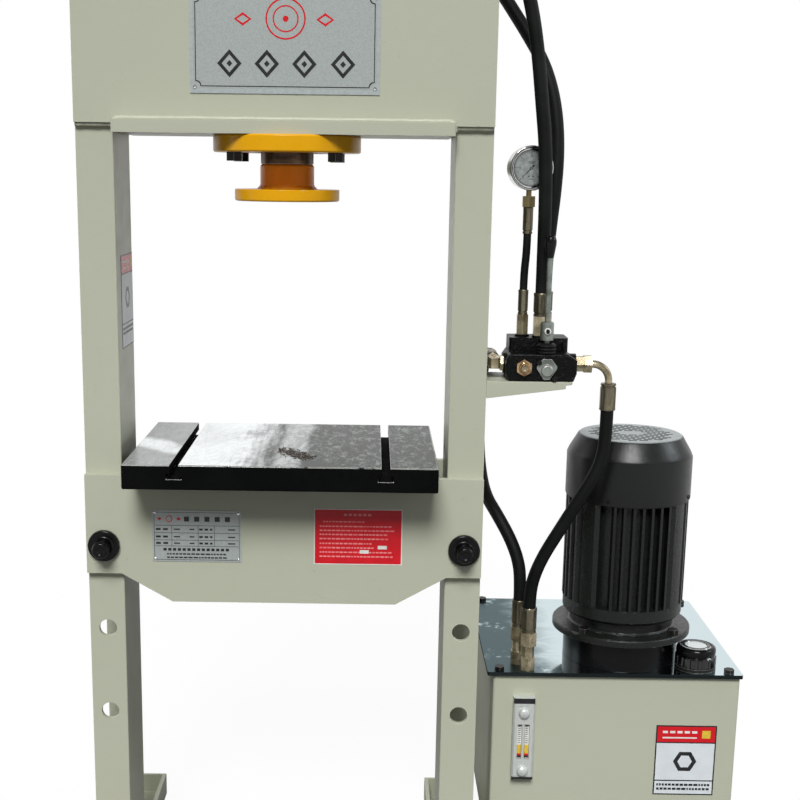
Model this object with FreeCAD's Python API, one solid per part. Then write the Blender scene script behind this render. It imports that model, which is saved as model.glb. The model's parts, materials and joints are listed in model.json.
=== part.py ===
import FreeCAD, Part
import math
import os

from FreeCAD import Vector

# A workshop press with an H frame of channels, a work table carried on a pinned bed, a hanging
# hydraulic cylinder, a hand lever valve with its pressure gauge, and a tank with a
# motor that stands beside the frame. Sizes are millimetres. Heights are written from
# the floor, X runs to the right, Y away from the viewer, and X = Y = 0 is the ram axis.
# The finished pieces are moved down so that the origin is the middle of the table top.

# Columns and feet
column_width = 60.0
column_depth = 140.0
column_web = 8.0
column_flange_root = 11.5
column_flange_toe = 7.5
column_corner = 2.0
column_fillet = 9.0
column_toe_round = 3.5
column_centre = 300.0
frame_height = 1560.0
foot_inner_width = 64.0
foot_flange = 8.0
foot_web = 5.0
foot_height = 43.0
foot_length = 540.0
foot_end_plate = 5.0

# Bed, its pins and the pin holes of the columns
pin_height = 620.0
pin_hole_diameter = 30.0
pin_hole_pitch = 150.0
spare_hole_rows = 2
pin_clearance = 0.1
pin_tail = 6.0
pin_tip_chamfer = 3.0
knob_diameter = 53.0
knob_disc = 9.0
knob_disc_round = 2.5
knob_hub = 28.0
knob_root = 36.0
knob_length = 38.0
knob_hub_chamfer = 2.5
knob_dimple = 14.0
knob_dimple_depth = 1.5
bed_plate = 14.0
bed_above_pin = 120.0
bed_below_pin = 97.0
ear_below_pin = 49.0
ear_inset = 58.0
shoulder_inset = 143.0
rib_thickness = 12.0
rib_height = 150.0
rib_positions = (-210.0, -70.0, 70.0, 210.0)

# Work table
table_width = 500.0
table_depth = 370.0
table_thickness = 40.0
table_edge = 1.5
slot_centre = 167.0
slot_width = 14.0
slot_foot_width = 25.0
slot_foot_height = 9.0
slot_depth = 23.0

# Crown
crown_plate = 12.0
crown_height = 255.0
crown_notch = 5.0
crown_floor = 20.0
crown_floor_overhang = 25.0
crown_floor_play = 2.0
crown_floor_corner = 6.0
crown_cover = 10.0
port_window = 46.0

# Cylinder and ram
barrel_outer = 136.0
barrel_bore = 110.0
barrel_play = 1.0
barrel_above_cover = 80.0
barrel_cap = 40.0
flange_diameter = 240.0
flange_thickness = 27.0
flange_edge = 2.0
flange_bolt_circle = 196.0
flange_bolt_angle = 35.0
flange_bolt_flats = 24.0
flange_bolt_head = 14.0
flange_bolt_shank = 16.0
bolt_hole_play = 1.0
gland_length = 52.0
gland_recess = 4.0
gland_clearance = 0.05
rod_diameter = 86.0
rod_clearance = 0.05
rod_showing = 18.0
rod_spigot = 70.0
rod_spigot_length = 32.0
piston_length = 50.0
piston_clearance = 0.08
piston_stop_gap = 10.0
piston_groove = 4.0
neck_diameter = 88.0
neck_height = 40.0
neck_chamfer = 3.0
neck_weld = 8.0
ram_disc_diameter = 171.0
ram_disc_thickness = 19.0
ram_disc_chamfer = 2.0

# Hose ends on the cylinder
port_above_gland = 71.0
elbow_body = 30.0
lower_elbow_reach = 34.0
upper_elbow_x = 46.0
upper_elbow_rise = 50.0
upper_elbow_reach = 34.0

# Valve shelf
shelf_top = 902.0
shelf_plate = 5.0
shelf_length = 142.0
shelf_corner = 12.0
shelf_flange_root = 28.0
shelf_flange_tip = 11.0
shelf_rear = 42.0
shelf_tongue_inset = 22.0

# Valve
valve_left = 362.0
valve_right = 478.0
valve_front = -64.0
valve_rear = 26.0
valve_step = 45.0
valve_corner = 6.0
valve_shoulder = 16.0
valve_waist = 5.0
valve_waist_height = 13.0
valve_pad = 28.0
valve_pad_height = 3.0
valve_rib = 4.0
valve_rib_rise = 10.0
valve_window_ring = 30.0
valve_window_ring_depth = 2.0
upper_left = 369.0
upper_right = 466.0
upper_front = -33.0
upper_height = 26.0
port_axis_y = -25.0
port_axis_rise = 25.0
port_boss = 34.0
port_boss_length = 2.0
plug_x = 391.0
plug_rise = 23.0
plug_flats = 24.0
plug_length = 9.0
plug_stud = 12.0
plug_stud_length = 4.5
plug_stud_play = 0.05
end_cap_rise = 19.0
end_cap_width = 33.0
end_cap_height = 34.0
end_cap_thickness = 5.0
end_cap_boss = 20.0
end_cap_boss_length = 6.0
spool_diameter = 16.0
spool_clearance = 0.04
spool_length = 91.0
spool_land = 18.0
spool_room = 8.0
spool_groove = 2.0
spool_slot = 8.0

# Lever
lever_x = 428.0
lever_y = -50.0
lever_pivot_rise = 54.0
lever_well = 20.0
lever_tower = 24.0
lever_tower_bore = 17.0
lever_ball = 14.0
lever_shank = 10.0
lever_toe_shank = 3.6
lever_toe_ball = 7.4
trunnion_diameter = 5.0
trunnion_length = 22.0
trunnion_clearance = 0.05
bellows_outer = 32.8
bellows_inner = 25.0
bellows_mouth = 18.0
bellows_height = 17.5
bellows_ribs = 3
socket_diameter = 22.0
socket_length = 30.7
socket_rise = 12.0
socket_screw_hole = 8.0
socket_screw_rise = 12.0
lever_rod_diameter = 9.0
lever_rod_depth = 14.0
lever_rod_length = 105.0
lever_knob_diameter = 19.4
lever_knob_root = 12.0
lever_knob_length = 35.0
lever_knob_depth = 16.0

# Threaded hose fittings and crimped ferrules
ferrule_diameter = 27.0
crimp_depth = 0.7
hose_diameter = 22.0
fitting_flats = 24.0
nut_flats = 27.0
port_a = (421.0, -20.0)
port_b = (430.0, 12.0)
port_adaptor_length = 13.0
port_nut_length = 19.0
port_ferrule_length = 38.0
cylinder_nut_length = 20.0
cylinder_ferrule_length = 42.0
return_elbow_width = 18.0
return_elbow_reach = 16.0
return_nut_flats = 22.0
return_elbow_x = 346.0
return_nut_length = 25.0
return_ferrule_length = 50.0
right_adaptor_length = 29.0
pressure_tube_diameter = 12.5
pressure_tube_bend = 28.0
pressure_tube_drop = 4.0
pressure_tube_run = 2.0
pressure_ferrule_length = 45.0

# Pressure gauge and its line
gauge_port = (392.0, -5.0)
gauge_fitting_flats = 18.0
gauge_adaptor_length = 11.0
gauge_nut_length = 22.0
gauge_ferrule = 17.0
gauge_ferrule_length = 40.7
gauge_hose_diameter = 13.0
gauge_hose_length = 91.5
gauge_shift = 3.0
gauge_upper_ferrule_length = 43.4
gauge_stem_flats = 20.0
gauge_stem_nut = 17.4
gauge_stem_diameter = 9.0
gauge_stem_length = 8.7
gauge_diameter = 72.0
gauge_depth = 30.0
gauge_turn = 10.0
gauge_wall = 2.5
gauge_bezel_depth = 6.0
gauge_bezel_width = 4.5
gauge_glass_thickness = 2.0
gauge_dial_recess = 8.0
needle_length = 22.0
needle_tail = 7.0
needle_width = 2.4
needle_tip = 0.6
needle_thickness = 0.8
needle_rise = 1.5
needle_pin = 2.0
needle_hub = 5.0
needle_clearance = 0.05
needle_rest = -135.0

# Tank
tank_left = 365.0
tank_width = 436.0
tank_front = 0.0
tank_depth = 404.0
tank_top = 369.0
tank_wall = 3.0
tank_corner = 5.0
skid_height = 30.0
skid_width = 40.0
skid_inset = 30.0
lid_thickness = 7.0
lid_overhang_left = 11.0
lid_overhang_right = 3.0
lid_overhang_front = 7.0
lid_overhang_rear = 8.0
lid_corner = 4.0
lid_bolt_inset_x = 22.0
lid_bolt_inset_y = 15.0
lid_bolt_flats = 16.0
lid_bolt_head = 6.5
lid_bolt_shank = 8.0
drain_height = 55.0
drain_flats = 22.0
drain_head = 12.0
level_gauge_x = 420.0
level_gauge_bottom = 177.6
level_gauge_height = 153.4
level_gauge_width = 38.0
level_gauge_depth = 16.0
level_edge = 3.0
level_window_width = 21.5
level_window_depth = 8.0
level_window_below = 38.0
level_window_above = 49.0
level_tube = 6.0
level_top_cap = 14.0
level_bottom_cap = 6.0
level_cap_groove = 1.2
level_lower_bolt = 16.4
level_upper_bolt = 27.4
level_bolt_diameter = 20.0
level_bolt_head = 8.0
filler_inset_x = 73.0
filler_y = 35.0
filler_flange = 72.0
filler_flange_thickness = 6.0
filler_neck_diameter = 44.0
filler_neck_wall = 2.5
filler_neck_rise = 20.0
strainer_depth = 90.0
suction_drop = 60.0
suction_length = 80.0
suction_cone = 8.0
filler_cap_height = 42.0
filler_cap_step = 26.0
filler_cap_top = 54.0
filler_cap_rim = 4.0
filler_cap_dish = 1.8
filler_cap_flutes = 18
filler_cap_flute = 8.0
filler_cap_flute_depth = 1.6
filler_cap_wall = 3.0
filler_cap_clearance = 0.1
filler_cap_gap = 0.3
breather_holes = 12
breather_hole = 3.0

# Hose adaptors on the tank lid
pressure_inlet = (425.0, 10.0)
return_inlet = (411.0, 42.0)
lid_hex_length = 24.0
lid_neck_length = 21.0
lid_nut_length = 25.0
pressure_lid_ferrule = 45.0
return_lid_ferrule = 49.0
pipe_diameter = 16.0
return_pipe_length = 280.0

# Motor, coupling and pump
motor_inset_x = 198.0
motor_y = 99.0
riser_diameter = 204.0
riser_wall = 12.0
riser_height = 53.0
motor_flange = 246.0
motor_flange_thickness = 13.0
shield_neck = 184.0
shield_neck_height = 20.0
shield_ring = 212.0
shield_ring_height = 27.0
shield_cone = 6.0
shield_wall = 12.0
shield_web = 18.0
stator_height = 198.0
stator_core = 178.0
stator_bore = 124.0
stator_head = 16.0
fin_thickness = 4.6
fin_pitch = 16.2
fin_count = 7
fin_first = -38.5
side_fin_count = 7
side_fin_first = -48.6
pad_width = 26.0
pad_reach = 82.0
pad_places = (-74.0, 76.0)
cowl_diameter = 220.0
cowl_bottom = 676.0
cowl_band = 752.0
cowl_top = 788.0
cowl_top_diameter = 176.0
cowl_wall = 2.0
cowl_seat_gap = 0.3
cowl_lip = 3.0
grille_circle = 158.0
grille_slot = 15.0
grille_row = 5.4
grille_bar = 4.6
grille_bridge = 3.6
grille_hub = 26.0
shaft_diameter = 30.0
shaft_clearance = 0.05
shaft_bottom = 402.0
rotor_diameter = 122.0
rotor_length = 140.0
rotor_start = 500.0
fan_diameter = 160.0
fan_bottom = 700.0
fan_height = 50.0
fan_hub = 50.0
fan_disc = 4.0
fan_blades = 7
fan_blade_thickness = 4.0
fan_top_gap = 20.0
coupling_diameter = 50.0
coupling_bottom = 380.0
coupling_length = 44.0
pump_shaft = 18.0
pump_shaft_depth = 30.0
pump_top_bore = 60.0
pump_width = 90.0
pump_depth = 84.0
pump_height = 100.0
pump_corner = 12.0
flange_bolts_motor = 4
motor_bolt_circle = 222.0
motor_bolt_flats = 17.0
motor_bolt_head = 9.0
terminal_width = 96.0
terminal_depth = 54.0
terminal_height = 84.0
terminal_bottom = 556.0
terminal_seat = 4.0
terminal_corner = 6.0
terminal_cover = 6.0
terminal_gland = 24.0
terminal_gland_length = 18.0

# Worked out from the sizes above
column_inner = column_centre - column_width / 2
column_outer = column_centre + column_width / 2
column_front = -column_depth / 2
bed_top = pin_height + bed_above_pin
table_top = bed_top + table_thickness
crown_bottom = frame_height - crown_height
crown_floor_top = crown_bottom + crown_notch
crown_floor_bottom = crown_floor_top - crown_floor
crown_front = column_front - crown_plate
flange_bottom = crown_floor_bottom - flange_thickness
barrel_top = frame_height + crown_cover + barrel_above_cover
lower_port_height = flange_bottom + gland_recess + gland_length + port_above_gland
neck_top = flange_bottom - rod_showing
ram_disc_top = neck_top - neck_height
ram_disc_bottom = ram_disc_top - ram_disc_thickness
valve_bottom = shelf_top
valve_ledge = valve_bottom + valve_step
valve_top = valve_ledge + upper_height
port_axis_z = valve_bottom + port_axis_rise
plug_face = valve_front - valve_window_ring_depth
spool_axis_z = valve_bottom + end_cap_rise
lever_pivot_z = valve_bottom + lever_pivot_rise
lid_top = tank_top + lid_thickness
tank_right = tank_left + tank_width
tank_rear = tank_front + tank_depth
filler_x = tank_right - filler_inset_x
motor_x = tank_right - motor_inset_x
riser_top = lid_top + riser_height
flange_top = riser_top + motor_flange_thickness
shield_top = flange_top + shield_neck_height + shield_ring_height
stator_top = shield_top + stator_height
fin_circle = cowl_diameter - 2 * (cowl_wall + cowl_seat_gap)
motor_axis = Vector(motor_x, motor_y, 0)

up = Vector(0, 0, 1)
down = Vector(0, 0, -1)
right = Vector(1, 0, 0)
left = Vector(-1, 0, 0)
back = Vector(0, 1, 0)
front = Vector(0, -1, 0)


# Helpers

def block(x0, x1, y0, y1, z0, z1):
    return Part.makeBox(x1 - x0, y1 - y0, z1 - z0, Vector(x0, y0, z0))


def rounded_block(x0, x1, y0, y1, z0, z1, radius):
    solid = block(x0, x1, y0, y1, z0, z1)
    upright = [e for e in solid.Edges if abs(e.tangentAt(e.FirstParameter).z) > 0.99]
    return solid.makeFillet(radius, upright)


def rod(start, direction, diameter, length):
    return Part.makeCylinder(diameter / 2, length, start, direction)


def turned(profile, start, direction):
    """A solid of revolution from (radius, distance) points along an axis."""
    points = [Vector(r, 0, d) for r, d in profile]
    face = Part.Face(Part.makePolygon(points + [points[0]]))
    solid = face.revolve(Vector(0, 0, 0), up, 360)
    return placed(solid, start, direction)


def placed(solid, start, direction):
    """Turns a solid that was made along +Z to a direction and moves it to its start."""
    solid = solid.copy()
    turn = FreeCAD.Rotation(up, direction)
    solid.Placement = FreeCAD.Placement(start, turn).multiply(solid.Placement)
    return solid


def hexagon(start, direction, flats, length, chamfer=0.8):
    corner = flats / math.sqrt(3)
    points = [Vector(corner * math.cos(math.radians(60 * i + 30)),
                     corner * math.sin(math.radians(60 * i + 30)), 0) for i in range(7)]
    prism = Part.Face(Part.makePolygon(points)).extrude(Vector(0, 0, length))
    cone = [(0, 0), (corner - chamfer, 0), (corner, chamfer * 0.6), (corner, length - chamfer * 0.6),
            (corner - chamfer, length), (0, length)]
    prism = prism.common(turned(cone, Vector(0, 0, 0), up))
    return placed(prism, start, direction)


def upright_plate(outline, y0, thickness):
    """A plate cut to an outline of (x, z) points and thickened along Y."""
    points = [Vector(x, y0, z) for x, z in outline]
    return Part.Face(Part.makePolygon(points + [points[0]])).extrude(Vector(0, thickness, 0))


def fused(pieces):
    return pieces[0].fuse(pieces[1:]).removeSplitter()


def group(pieces):
    return Part.Compound(pieces)


def tube_path(route):
    """Straight runs joined by tangent arcs; returns the wire and its arc radii."""
    edges = []
    radii = []
    here = route[0]
    for before, corner, after in zip(route, route[1:], route[2:]):
        run_in = corner - before
        run_out = after - corner
        shorter = min(run_in.Length, run_out.Length)
        half_turn = run_in.getAngle(run_out) / 2
        radius = 0.45 * shorter / math.tan(half_turn)
        setback = 0.45 * shorter
        arc_start = corner - run_in.normalize() * setback
        arc_end = corner + run_out.normalize() * setback
        inward = (run_out - run_in).normalize()
        middle = corner + inward * (radius / math.cos(half_turn) - radius)
        edges.append(Part.LineSegment(here, arc_start).toShape())
        edges.append(Part.Arc(arc_start, middle, arc_end).toShape())
        radii.append(radius)
        here = arc_end
    edges.append(Part.LineSegment(here, route[-1]).toShape())
    return Part.Wire(edges), radii


def swept(points, diameter):
    """A round bar along a route; returns it with the wire it follows and its arc radii."""
    wire, radii = tube_path([Vector(*p) for p in points])
    first = wire.Edges[0]
    start = first.valueAt(first.FirstParameter)
    heading = first.tangentAt(first.FirstParameter)
    circle = Part.Wire(Part.makeCircle(diameter / 2, start, heading))
    return wire.makePipeShell([circle], True, True), wire, radii


def hose(name, route, diameter):
    solid, wire, radii = swept(route, diameter)
    section = math.pi * diameter ** 2 / 4
    print(name, "length", round(wire.Length, 1), "smallest radius", round(min(radii), 1), "volume ratio",
          round(solid.Volume / section / wire.Length, 4))
    return solid


def ferrule(start, direction, diameter, length):
    """A sleeve pressed onto the hose: its middle is crimped a little smaller."""
    r = diameter / 2
    crimped = r - crimp_depth
    return turned([(0, 0), (r, 0), (r, length * 0.18), (crimped, length * 0.24), (crimped, length * 0.8),
                   (r, length * 0.86), (r, length), (0, length)], start, direction)


def bolt(head_top, direction, flats, head, shank, length):
    """A hexagon bolt: direction runs from the seat out through the head."""
    seat = head_top - direction * head
    stud = rod(seat - direction * length, direction, shank, length)
    return fused([hexagon(seat, direction, flats, head), stud])


def save(name, shape):
    shape = shape.copy()
    shape.translate(Vector(0, 0, -table_top))
    shape.exportStep("parts/" + name + ".step")


# Frame

def column(side):
    """A rolled channel with its web towards the table, its open side outwards."""
    half = column_depth / 2
    toe = half - column_flange_toe
    root = half - column_flange_root
    inner = side * column_inner
    web = side * (column_inner + column_web)
    outer = side * column_outer
    section = [Vector(x, y, foot_web) for x, y in
               ((inner, -half), (outer, -half), (outer, -toe), (web, -root), (web, root), (outer, toe),
                (outer, half), (inner, half))]
    channel = Part.Face(Part.makePolygon(section + [section[0]])).extrude(up * (frame_height - foot_web))
    for x, y, radius in ((inner, half, column_corner), (web, root, column_fillet),
                         (outer, toe, column_toe_round)):
        edges = [e for e in channel.Edges if abs(e.tangentAt(e.FirstParameter).z) > 0.99
                 and abs(e.CenterOfMass.x - x) < 0.01 and abs(abs(e.CenterOfMass.y) - y) < 0.01]
        channel = channel.makeFillet(radius, edges)
    for row in range(spare_hole_rows + 1):
        place = Vector(side * column_centre, column_front - 1, pin_height - row * pin_hole_pitch)
        channel = channel.cut(rod(place, back, pin_hole_diameter, column_depth + 2))
    return channel


def foot(side):
    centre = side * column_centre
    inner = foot_inner_width / 2
    outer = inner + foot_flange
    half = foot_length / 2
    web = block(centre - outer, centre + outer, -half, half, 0, foot_web)
    walls = []
    for edge in (-1, 1):
        x0, x1 = sorted((centre + edge * inner, centre + edge * outer))
        walls.append(block(x0, x1, -half, half, foot_web, foot_height))
        y0, y1 = sorted((edge * half, edge * (half - foot_end_plate)))
        walls.append(block(centre - inner, centre + inner, y0, y1, foot_web, foot_height))
    return fused([web] + walls)


def bed_side_plate(y0):
    top = bed_top
    ear = pin_height - ear_below_pin
    low = pin_height - bed_below_pin
    x_ear = column_outer - ear_inset
    x_low = column_outer - shoulder_inset
    outline = [(-column_outer, ear), (-x_ear, ear), (-x_low, low), (x_low, low), (x_ear, ear),
               (column_outer, ear), (column_outer, top), (-column_outer, top)]
    plate = upright_plate(outline, y0, bed_plate)
    for side in (-1, 1):
        hole = rod(Vector(side * column_centre, y0 - 1, pin_height), back, pin_hole_diameter, bed_plate + 2)
        plate = plate.cut(hole)
    return plate


def bed_ribs():
    ribs = []
    for x in rib_positions:
        ribs.append(block(x - rib_thickness / 2, x + rib_thickness / 2, column_front, -column_front,
                          bed_top - rib_height, bed_top))
    return group(ribs)


def work_table():
    half_x = table_width / 2
    half_y = table_depth / 2
    plate = block(-half_x, half_x, -half_y, half_y, bed_top, table_top)
    plate = plate.makeChamfer(table_edge, plate.Edges)
    foot_bottom = table_top - slot_depth
    for side in (-1, 1):
        x = side * slot_centre
        neck = block(x - slot_width / 2, x + slot_width / 2, -half_y - 1, half_y + 1, foot_bottom + 1,
                     table_top + 1)
        wide = block(x - slot_foot_width / 2, x + slot_foot_width / 2, -half_y - 1, half_y + 1,
                     foot_bottom, foot_bottom + slot_foot_height)
        plate = plate.cut(neck.fuse(wide))
    return plate


def locking_pin(side):
    knob_face = column_front - bed_plate
    length = column_depth + 2 * bed_plate + pin_tail
    pin_r = pin_hole_diameter / 2 - pin_clearance
    disc_r = knob_diameter / 2
    hub_r = knob_hub / 2
    root_r = knob_root / 2
    dimple_r = knob_dimple / 2
    soft = knob_disc_round * 0.3
    flare = root_r - hub_r
    shank = [(0, -length), (pin_r - pin_tip_chamfer, -length), (pin_r, pin_tip_chamfer - length),
             (pin_r, 0)]
    disc = [(disc_r, 0), (disc_r, knob_disc - knob_disc_round), (disc_r - soft, knob_disc - soft),
            (disc_r - knob_disc_round, knob_disc), (root_r, knob_disc)]
    hub = [(hub_r + flare * 0.3, knob_disc + flare * 0.3), (hub_r, knob_disc + flare),
           (hub_r, knob_length - knob_hub_chamfer), (hub_r - knob_hub_chamfer, knob_length),
           (dimple_r, knob_length), (dimple_r - 1, knob_length - knob_dimple_depth),
           (0, knob_length - knob_dimple_depth)]
    return turned(shank + disc + hub, Vector(side * column_centre, knob_face, pin_height), front)


def crown_side_plate(y0, window):
    low = crown_bottom
    notch = crown_floor_top
    inner = column_inner
    outer = column_outer
    outline = [(-outer, low), (-inner, low), (-inner, notch), (inner, notch), (inner, low), (outer, low),
               (outer, frame_height), (-outer, frame_height)]
    plate = upright_plate(outline, y0, crown_plate)
    if window:
        plate = plate.cut(rod(Vector(0, y0 - 1, lower_port_height), back, port_window, crown_plate + 2))
    return plate


def flange_bolt_places():
    radius = flange_bolt_circle / 2
    places = []
    for degrees in (flange_bolt_angle, 180 - flange_bolt_angle, 180 + flange_bolt_angle,
                    -flange_bolt_angle):
        angle = math.radians(degrees)
        places.append((radius * math.cos(angle), radius * math.sin(angle)))
    return places


def crown_floor_plate():
    half_y = -crown_front + crown_floor_overhang
    half_x = column_inner - crown_floor_play
    plate = rounded_block(-half_x, half_x, -half_y, half_y, crown_floor_bottom, crown_floor_top,
                          crown_floor_corner)
    plate = plate.cut(rod(Vector(0, 0, crown_floor_bottom - 1), up, barrel_outer + 2 * barrel_play,
                          crown_floor + 2))
    for x, y in flange_bolt_places():
        plate = plate.cut(rod(Vector(x, y, crown_floor_bottom - 1), up, flange_bolt_shank, crown_floor + 2))
    return plate


def crown_cover_plate():
    plate = rounded_block(-column_outer, column_outer, crown_front, -crown_front, frame_height,
                          frame_height + crown_cover, crown_floor_corner)
    return plate.cut(rod(Vector(0, 0, frame_height - 1), up, barrel_outer + 2 * barrel_play,
                         crown_cover + 2))


# Cylinder and ram

def cylinder_flange():
    r = flange_diameter / 2
    inner = barrel_outer / 2
    low = flange_bottom
    top = crown_floor_bottom
    ring = turned([(inner, low), (r - flange_edge, low), (r, low + flange_edge), (r, top - flange_edge),
                   (r - flange_edge, top), (inner, top)], Vector(0, 0, 0), up)
    for x, y in flange_bolt_places():
        ring = ring.cut(rod(Vector(x, y, low - 1), up, flange_bolt_shank + bolt_hole_play,
                            flange_thickness + 2))
    return ring


def flange_bolt_group():
    head_top = flange_bottom - flange_bolt_head
    length = flange_thickness + crown_floor
    bolts = []
    for x, y in flange_bolt_places():
        bolts.append(bolt(Vector(x, y, head_top), down, flange_bolt_flats, flange_bolt_head,
                          flange_bolt_shank, length))
    return group(bolts)


def cylinder_barrel():
    outer = barrel_outer / 2
    bore = barrel_bore / 2
    roof = barrel_top - barrel_cap
    shell = turned([(bore, flange_bottom), (outer, flange_bottom), (outer, barrel_top - 3),
                    (outer - 3, barrel_top), (0, barrel_top), (0, roof), (bore, roof)], Vector(0, 0, 0),
                   up)
    port = rod(Vector(0, bore - 1, lower_port_height), back, pipe_diameter, outer - bore + 2)
    top_port = rod(Vector(upper_elbow_x, 0, roof - 1), up, pipe_diameter, barrel_cap + 2)
    return shell.cut(port).cut(top_port)


def gland_bush():
    outer = barrel_bore / 2 - gland_clearance
    inner = rod_diameter / 2 + rod_clearance
    low = flange_bottom + gland_recess
    top = low + gland_length
    groove = 3.0
    return turned([(inner + 2, low), (outer, low), (outer, top), (inner, top), (inner, low + 12),
                   (inner + groove, low + 12), (inner + groove, low + 6), (inner, low + 6),
                   (inner, low + 2)], Vector(0, 0, 0), up)


piston_top = barrel_top - barrel_cap - piston_stop_gap
piston_bottom = piston_top - piston_length


def ram_rod():
    r = rod_diameter / 2
    spigot = rod_spigot / 2
    stub = spigot - 10
    return turned([(0, neck_top - rod_spigot_length), (spigot, neck_top - rod_spigot_length),
                   (spigot, neck_top), (r, neck_top), (r, piston_bottom), (stub, piston_bottom),
                   (stub, piston_top), (0, piston_top)], Vector(0, 0, 0), up)


def piston():
    r = barrel_bore / 2 - piston_clearance
    inner = rod_spigot / 2 - 10
    groove_r = r - piston_groove
    profile = [(inner, piston_bottom), (r, piston_bottom)]
    for share in (0.25, 0.6):
        z = piston_bottom + piston_length * share
        profile += [(r, z), (groove_r, z), (groove_r, z + piston_groove * 1.5),
                    (r, z + piston_groove * 1.5)]
    profile += [(r, piston_top), (inner, piston_top)]
    return turned(profile, Vector(0, 0, 0), up)


def ram_foot():
    disc_r = ram_disc_diameter / 2
    neck_r = neck_diameter / 2
    bore = rod_spigot / 2
    low = ram_disc_bottom
    return turned([(0, low), (disc_r - ram_disc_chamfer, low), (disc_r, low + ram_disc_chamfer),
                   (disc_r, ram_disc_top), (neck_r + neck_weld, ram_disc_top),
                   (neck_r + neck_weld * 0.3, ram_disc_top + neck_weld * 0.3),
                   (neck_r, ram_disc_top + neck_weld), (neck_r, neck_top - neck_chamfer),
                   (neck_r - neck_chamfer, neck_top), (bore, neck_top),
                   (bore, neck_top - rod_spigot_length), (0, neck_top - rod_spigot_length)],
                  Vector(0, 0, 0), up)


barrel_rear = barrel_outer / 2
lower_elbow_y = barrel_rear + lower_elbow_reach
lower_elbow_top = lower_port_height + elbow_body
upper_elbow_z = barrel_top + upper_elbow_rise
upper_elbow_end = upper_elbow_x + upper_elbow_reach


def cylinder_elbows():
    half = elbow_body / 2
    lower_arm = rod(Vector(0, barrel_rear, lower_port_height), back, elbow_body, lower_elbow_reach)
    lower_turn = rod(Vector(0, lower_elbow_y, lower_port_height), up, elbow_body, elbow_body)
    lower_ball = Part.makeSphere(half, Vector(0, lower_elbow_y, lower_port_height))
    upper_arm = rod(Vector(upper_elbow_x, 0, barrel_top), up, elbow_body, upper_elbow_rise)
    upper_turn = rod(Vector(upper_elbow_x, 0, upper_elbow_z), right, elbow_body, upper_elbow_reach)
    upper_ball = Part.makeSphere(half, Vector(upper_elbow_x, 0, upper_elbow_z))
    lower = fused([lower_arm, lower_turn, lower_ball])
    lower = lower.cut(block(-half, half, barrel_rear - half, barrel_rear, lower_port_height - half,
                            lower_port_height + half))
    seat = rod(Vector(0, 0, flange_bottom), up, barrel_outer, barrel_top - flange_bottom)
    saddle = rod(Vector(0, 0, lower_port_height), back, elbow_body, barrel_rear).cut(seat)
    return group([fused([lower, saddle]), fused([upper_arm, upper_turn, upper_ball])])


# Valve, its shelf and its lever

def valve_shelf():
    x0 = column_outer
    x1 = x0 + shelf_length
    y0 = column_front
    plate = block(x0, x1, y0, shelf_rear, shelf_top - shelf_plate, shelf_top)
    corners = [e for e in plate.Edges if abs(e.tangentAt(e.FirstParameter).z) > 0.99
               and e.CenterOfMass.x > x1 - 1]
    plate = plate.makeFillet(shelf_corner, corners)
    low = shelf_top - shelf_plate
    tip = x1 - shelf_corner
    outline = [(x0, shelf_top - shelf_flange_root), (tip, shelf_top - shelf_flange_tip), (tip, low),
               (x0, low)]
    front_flange = upright_plate(outline, y0, shelf_plate)
    rear_flange = upright_plate(outline, shelf_rear - shelf_plate, shelf_plate)
    tongue = block(column_inner + column_web, x0 + 1, y0 + shelf_tongue_inset, shelf_rear, low, shelf_top)
    return fused([plate, tongue, front_flange, rear_flange])


spool_bore_length = spool_length + 2 * spool_room
spool_middle = (valve_left + valve_right) / 2


def valve_casting():
    """The cast block: sloped shoulders, a waist along the foot and a raised upper half."""
    slope = valve_shoulder
    waist = valve_waist
    foot_top = valve_bottom + valve_waist_height
    outline = [(valve_left + waist, valve_bottom), (valve_right - waist, valve_bottom),
               (valve_right, foot_top), (valve_right, valve_ledge - slope * 0.6),
               (valve_right - slope, valve_ledge), (valve_left + slope * 0.4, valve_ledge),
               (valve_left, valve_ledge - slope * 0.6), (valve_left, foot_top)]
    lower = upright_plate(outline, valve_front, valve_rear - valve_front)
    edges = [e for e in lower.Edges if abs(e.tangentAt(e.FirstParameter).y) < 0.01]
    lower = lower.makeFillet(valve_corner / 2, edges)
    upper = rounded_block(upper_left, upper_right, upper_front, valve_rear, valve_ledge - 1,
                          valve_top - valve_pad_height, valve_corner)
    return fused([lower, upper])


def valve_pads():
    """Round pads under the fittings on top, ribs down the front and rings round the bores."""
    pads = []
    for x, y in (port_a, port_b):
        pads.append(rod(Vector(x, y, valve_top - valve_pad_height - 1), up, valve_pad,
                        valve_pad_height + 1))
    pads.append(rod(Vector(gauge_port[0], gauge_port[1], valve_top - valve_pad_height - 1), up,
                    gauge_fitting_flats + 6, valve_pad_height + 1))
    for x in (upper_left + valve_corner, upper_right - valve_corner - valve_rib):
        pads.append(block(x, x + valve_rib, upper_front - valve_rib_rise, upper_front + 1,
                          valve_ledge - 1, valve_top - valve_pad_height - 2 * valve_rib))
    ring = Vector(plug_x, valve_front - valve_window_ring_depth, valve_bottom + plug_rise)
    pads.append(rod(ring, back, valve_window_ring, valve_window_ring_depth + 1))
    return pads


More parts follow.
